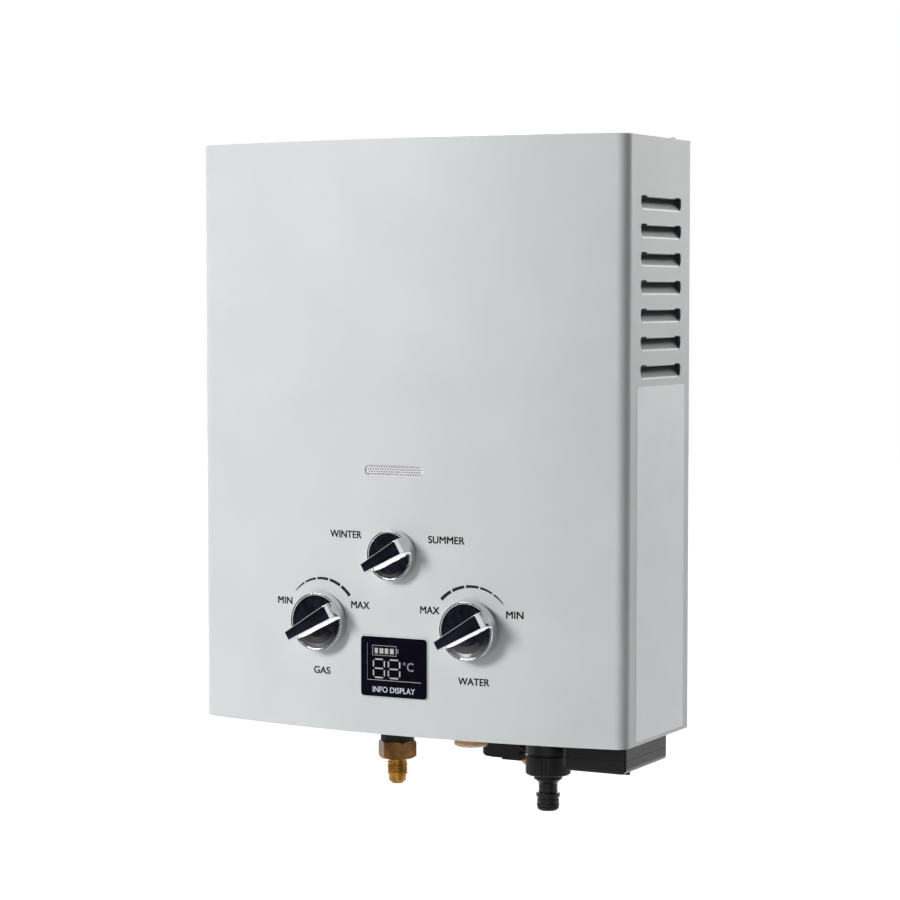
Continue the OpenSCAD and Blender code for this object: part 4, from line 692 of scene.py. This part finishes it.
def addCard(name, place, width, height, shades, target=(0, -0.1, -0.2)):  # dark, paler low down
    bm = bmesh.new()
    bmesh.ops.create_grid(bm, x_segments=1, y_segments=1, size=0.5,
                          matrix=Matrix.Diagonal((width, height, 1, 1)))
    mesh = bpy.data.meshes.new(name)
    bm.to_mesh(mesh)
    bm.free()
    material = bpy.data.materials.new(name)
    material.use_nodes = True
    tree = material.node_tree
    tree.nodes.clear()
    spot = addNode(tree, "ShaderNodeTexCoord").outputs["Object"]
    upright = addNode(tree, "ShaderNodeSeparateXYZ", links={0: spot})
    dark, cloudy, low = (linearColour(shade) for shade in shades)
    cloud = addNode(tree, "ShaderNodeTexNoise", {"Scale": stage["cardCloud"], "Detail": 3},
                    {"Vector": spot})
    haze = addNode(tree, "ShaderNodeMapRange", {"From Min": 0.4, "From Max": 0.7},
                   {"Value": cloud.outputs[0]})
    upper = addNode(tree, "ShaderNodeMix", {6: dark, 7: cloudy}, {0: haze.outputs[0]}, data_type="RGBA")
    down = addNode(tree, "ShaderNodeMapRange", {"From Min": stage["cardHigh"],
                                                "From Max": stage["cardLow"]},
                   {"Value": upright.outputs["Y"]})
    graded = addNode(tree, "ShaderNodeMix", {7: low}, {0: down.outputs[0], 6: upper.outputs[2]},
                     data_type="RGBA")
    shade = addNode(tree, "ShaderNodeEmission", links={"Color": graded.outputs[2]})
    addNode(tree, "ShaderNodeOutputMaterial", links={"Surface": shade.outputs[0]})
    mesh.materials.append(material)
    card = bpy.data.objects.new(name, mesh)
    bpy.context.scene.collection.objects.link(card)
    lookAt(card, place, target)
    card.visible_camera = False
    card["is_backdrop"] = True


def backgroundRays(tree):  # 1 for rays that should see plain white: camera, glossy and transmission rays
    rays = addNode(tree, "ShaderNodeLightPath")
    either = addNode(tree, "ShaderNodeMath", links={0: rays.outputs["Is Camera Ray"],
                                                    1: rays.outputs["Is Glossy Ray"]}, operation="MAXIMUM")
    return addNode(tree, "ShaderNodeMath", links={0: either.outputs[0],
                                                  1: rays.outputs["Is Transmission Ray"]},
                   operation="MAXIMUM").outputs[0]


world = bpy.data.worlds.new("studio")
bpy.context.scene.world = world
world.use_nodes = True
tree = world.node_tree
tree.nodes.clear()
dim = addNode(tree, "ShaderNodeBackground", {"Color": linearColour(stage["ambient"]),
                                             "Strength": stage["ambientStrength"]})
white = addNode(tree, "ShaderNodeBackground", {"Color": (1, 1, 1, 1), "Strength": 1})
mixed = addNode(tree, "ShaderNodeMixShader", links={0: backgroundRays(tree), 1: dim.outputs[0],
                                                    2: white.outputs[0]})
addNode(tree, "ShaderNodeOutputWorld", links={"Surface": mixed.outputs[0]})

bm = bmesh.new()
bmesh.ops.create_grid(bm, x_segments=1, y_segments=1, size=stage["floorSize"] / 2,
                      matrix=Matrix.Translation((0, 0, stage["floor"])))
floorMesh = bpy.data.meshes.new("floor")
bm.to_mesh(floorMesh)
bm.free()
floorPaint = bpy.data.materials.new("pale studio floor")
floorPaint.use_nodes = True
tree = floorPaint.node_tree
tree.nodes.clear()
floorShader = addNode(tree, "ShaderNodeBsdfPrincipled",
                      {"Base Color": linearColour("#f4f4f4"), "Roughness": 0.9})
# Away from the object the floor fades to the white of the background, and near it the shadow shows
place = addNode(tree, "ShaderNodeTexCoord").outputs["Object"]
flat = addNode(tree, "ShaderNodeMapping", {"Scale": (1, 1, 0)}, {"Vector": place})
away = addNode(tree, "ShaderNodeVectorMath", links={0: flat.outputs[0]}, operation="LENGTH")
fade = addNode(tree, "ShaderNodeMapRange", {"From Min": stage["fadeFrom"], "From Max": stage["fadeTo"],
                                            "To Min": stage["glowNear"], "To Max": 1},
               {"Value": away.outputs["Value"]}, interpolation_type="SMOOTHSTEP")
strength = addNode(tree, "ShaderNodeMath", links={0: backgroundRays(tree), 1: fade.outputs[0]},
                   operation="MULTIPLY")
glow = addNode(tree, "ShaderNodeEmission", {"Color": (1, 1, 1, 1)}, {"Strength": strength.outputs[0]})
both = addNode(tree, "ShaderNodeAddShader", links={0: floorShader.outputs[0], 1: glow.outputs[0]})
addNode(tree, "ShaderNodeOutputMaterial", links={"Surface": both.outputs[0]})
floorMesh.materials.append(floorPaint)
floor = bpy.data.objects.new("floor", floorMesh)
bpy.context.scene.collection.objects.link(floor)
floor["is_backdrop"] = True

# place in metres, power in watts, width and height in metres
lamps = {
    "key soft box": ((-1.72, -2.9, 1.1), 98, 1.2, 1.2),
    "rim panel": ((0.68, 2.2, 0.6), 15, 0.8, 1.6),  # its glare lights the right side
    "side soft box": ((0.9, 2.0, 1.6), 48, 0.7, 1.0),
    "back fill": ((-1.3, 2.3, 0.5), 30, 1.4, 1.4),
}
for name, lamp in lamps.items():
    addLamp(name, *lamp)
addCard("dark card left", (-1.6, -3.4, -0.2), 3.6, 3.2, ("#16161e", "#303040", "#8a8583"))
addCard("dark card right", (3.2, -1.6, -0.2), 3.4, 3.2, ("#08080a", "#101014", "#101014"))

# Fitted to the photo together with the size of the case
view = {"sensor": 36, "lens": 106.34, "place": (0.89708, -1.76343, -0.08249), "down": 0.0575772,
        "round": 0.4807472}
cameraData = bpy.data.cameras.new("camera")
cameraData.sensor_width = view["sensor"]
cameraData.lens = view["lens"]
camera = bpy.data.objects.new("camera", cameraData)
camera.location = view["place"]
camera.rotation_euler = (math.pi / 2 - view["down"], 0, view["round"])
bpy.context.scene.collection.objects.link(camera)
bpy.context.scene.camera = camera
bpy.context.scene.view_settings.view_transform = "Standard"
print("stage set")

low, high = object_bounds()
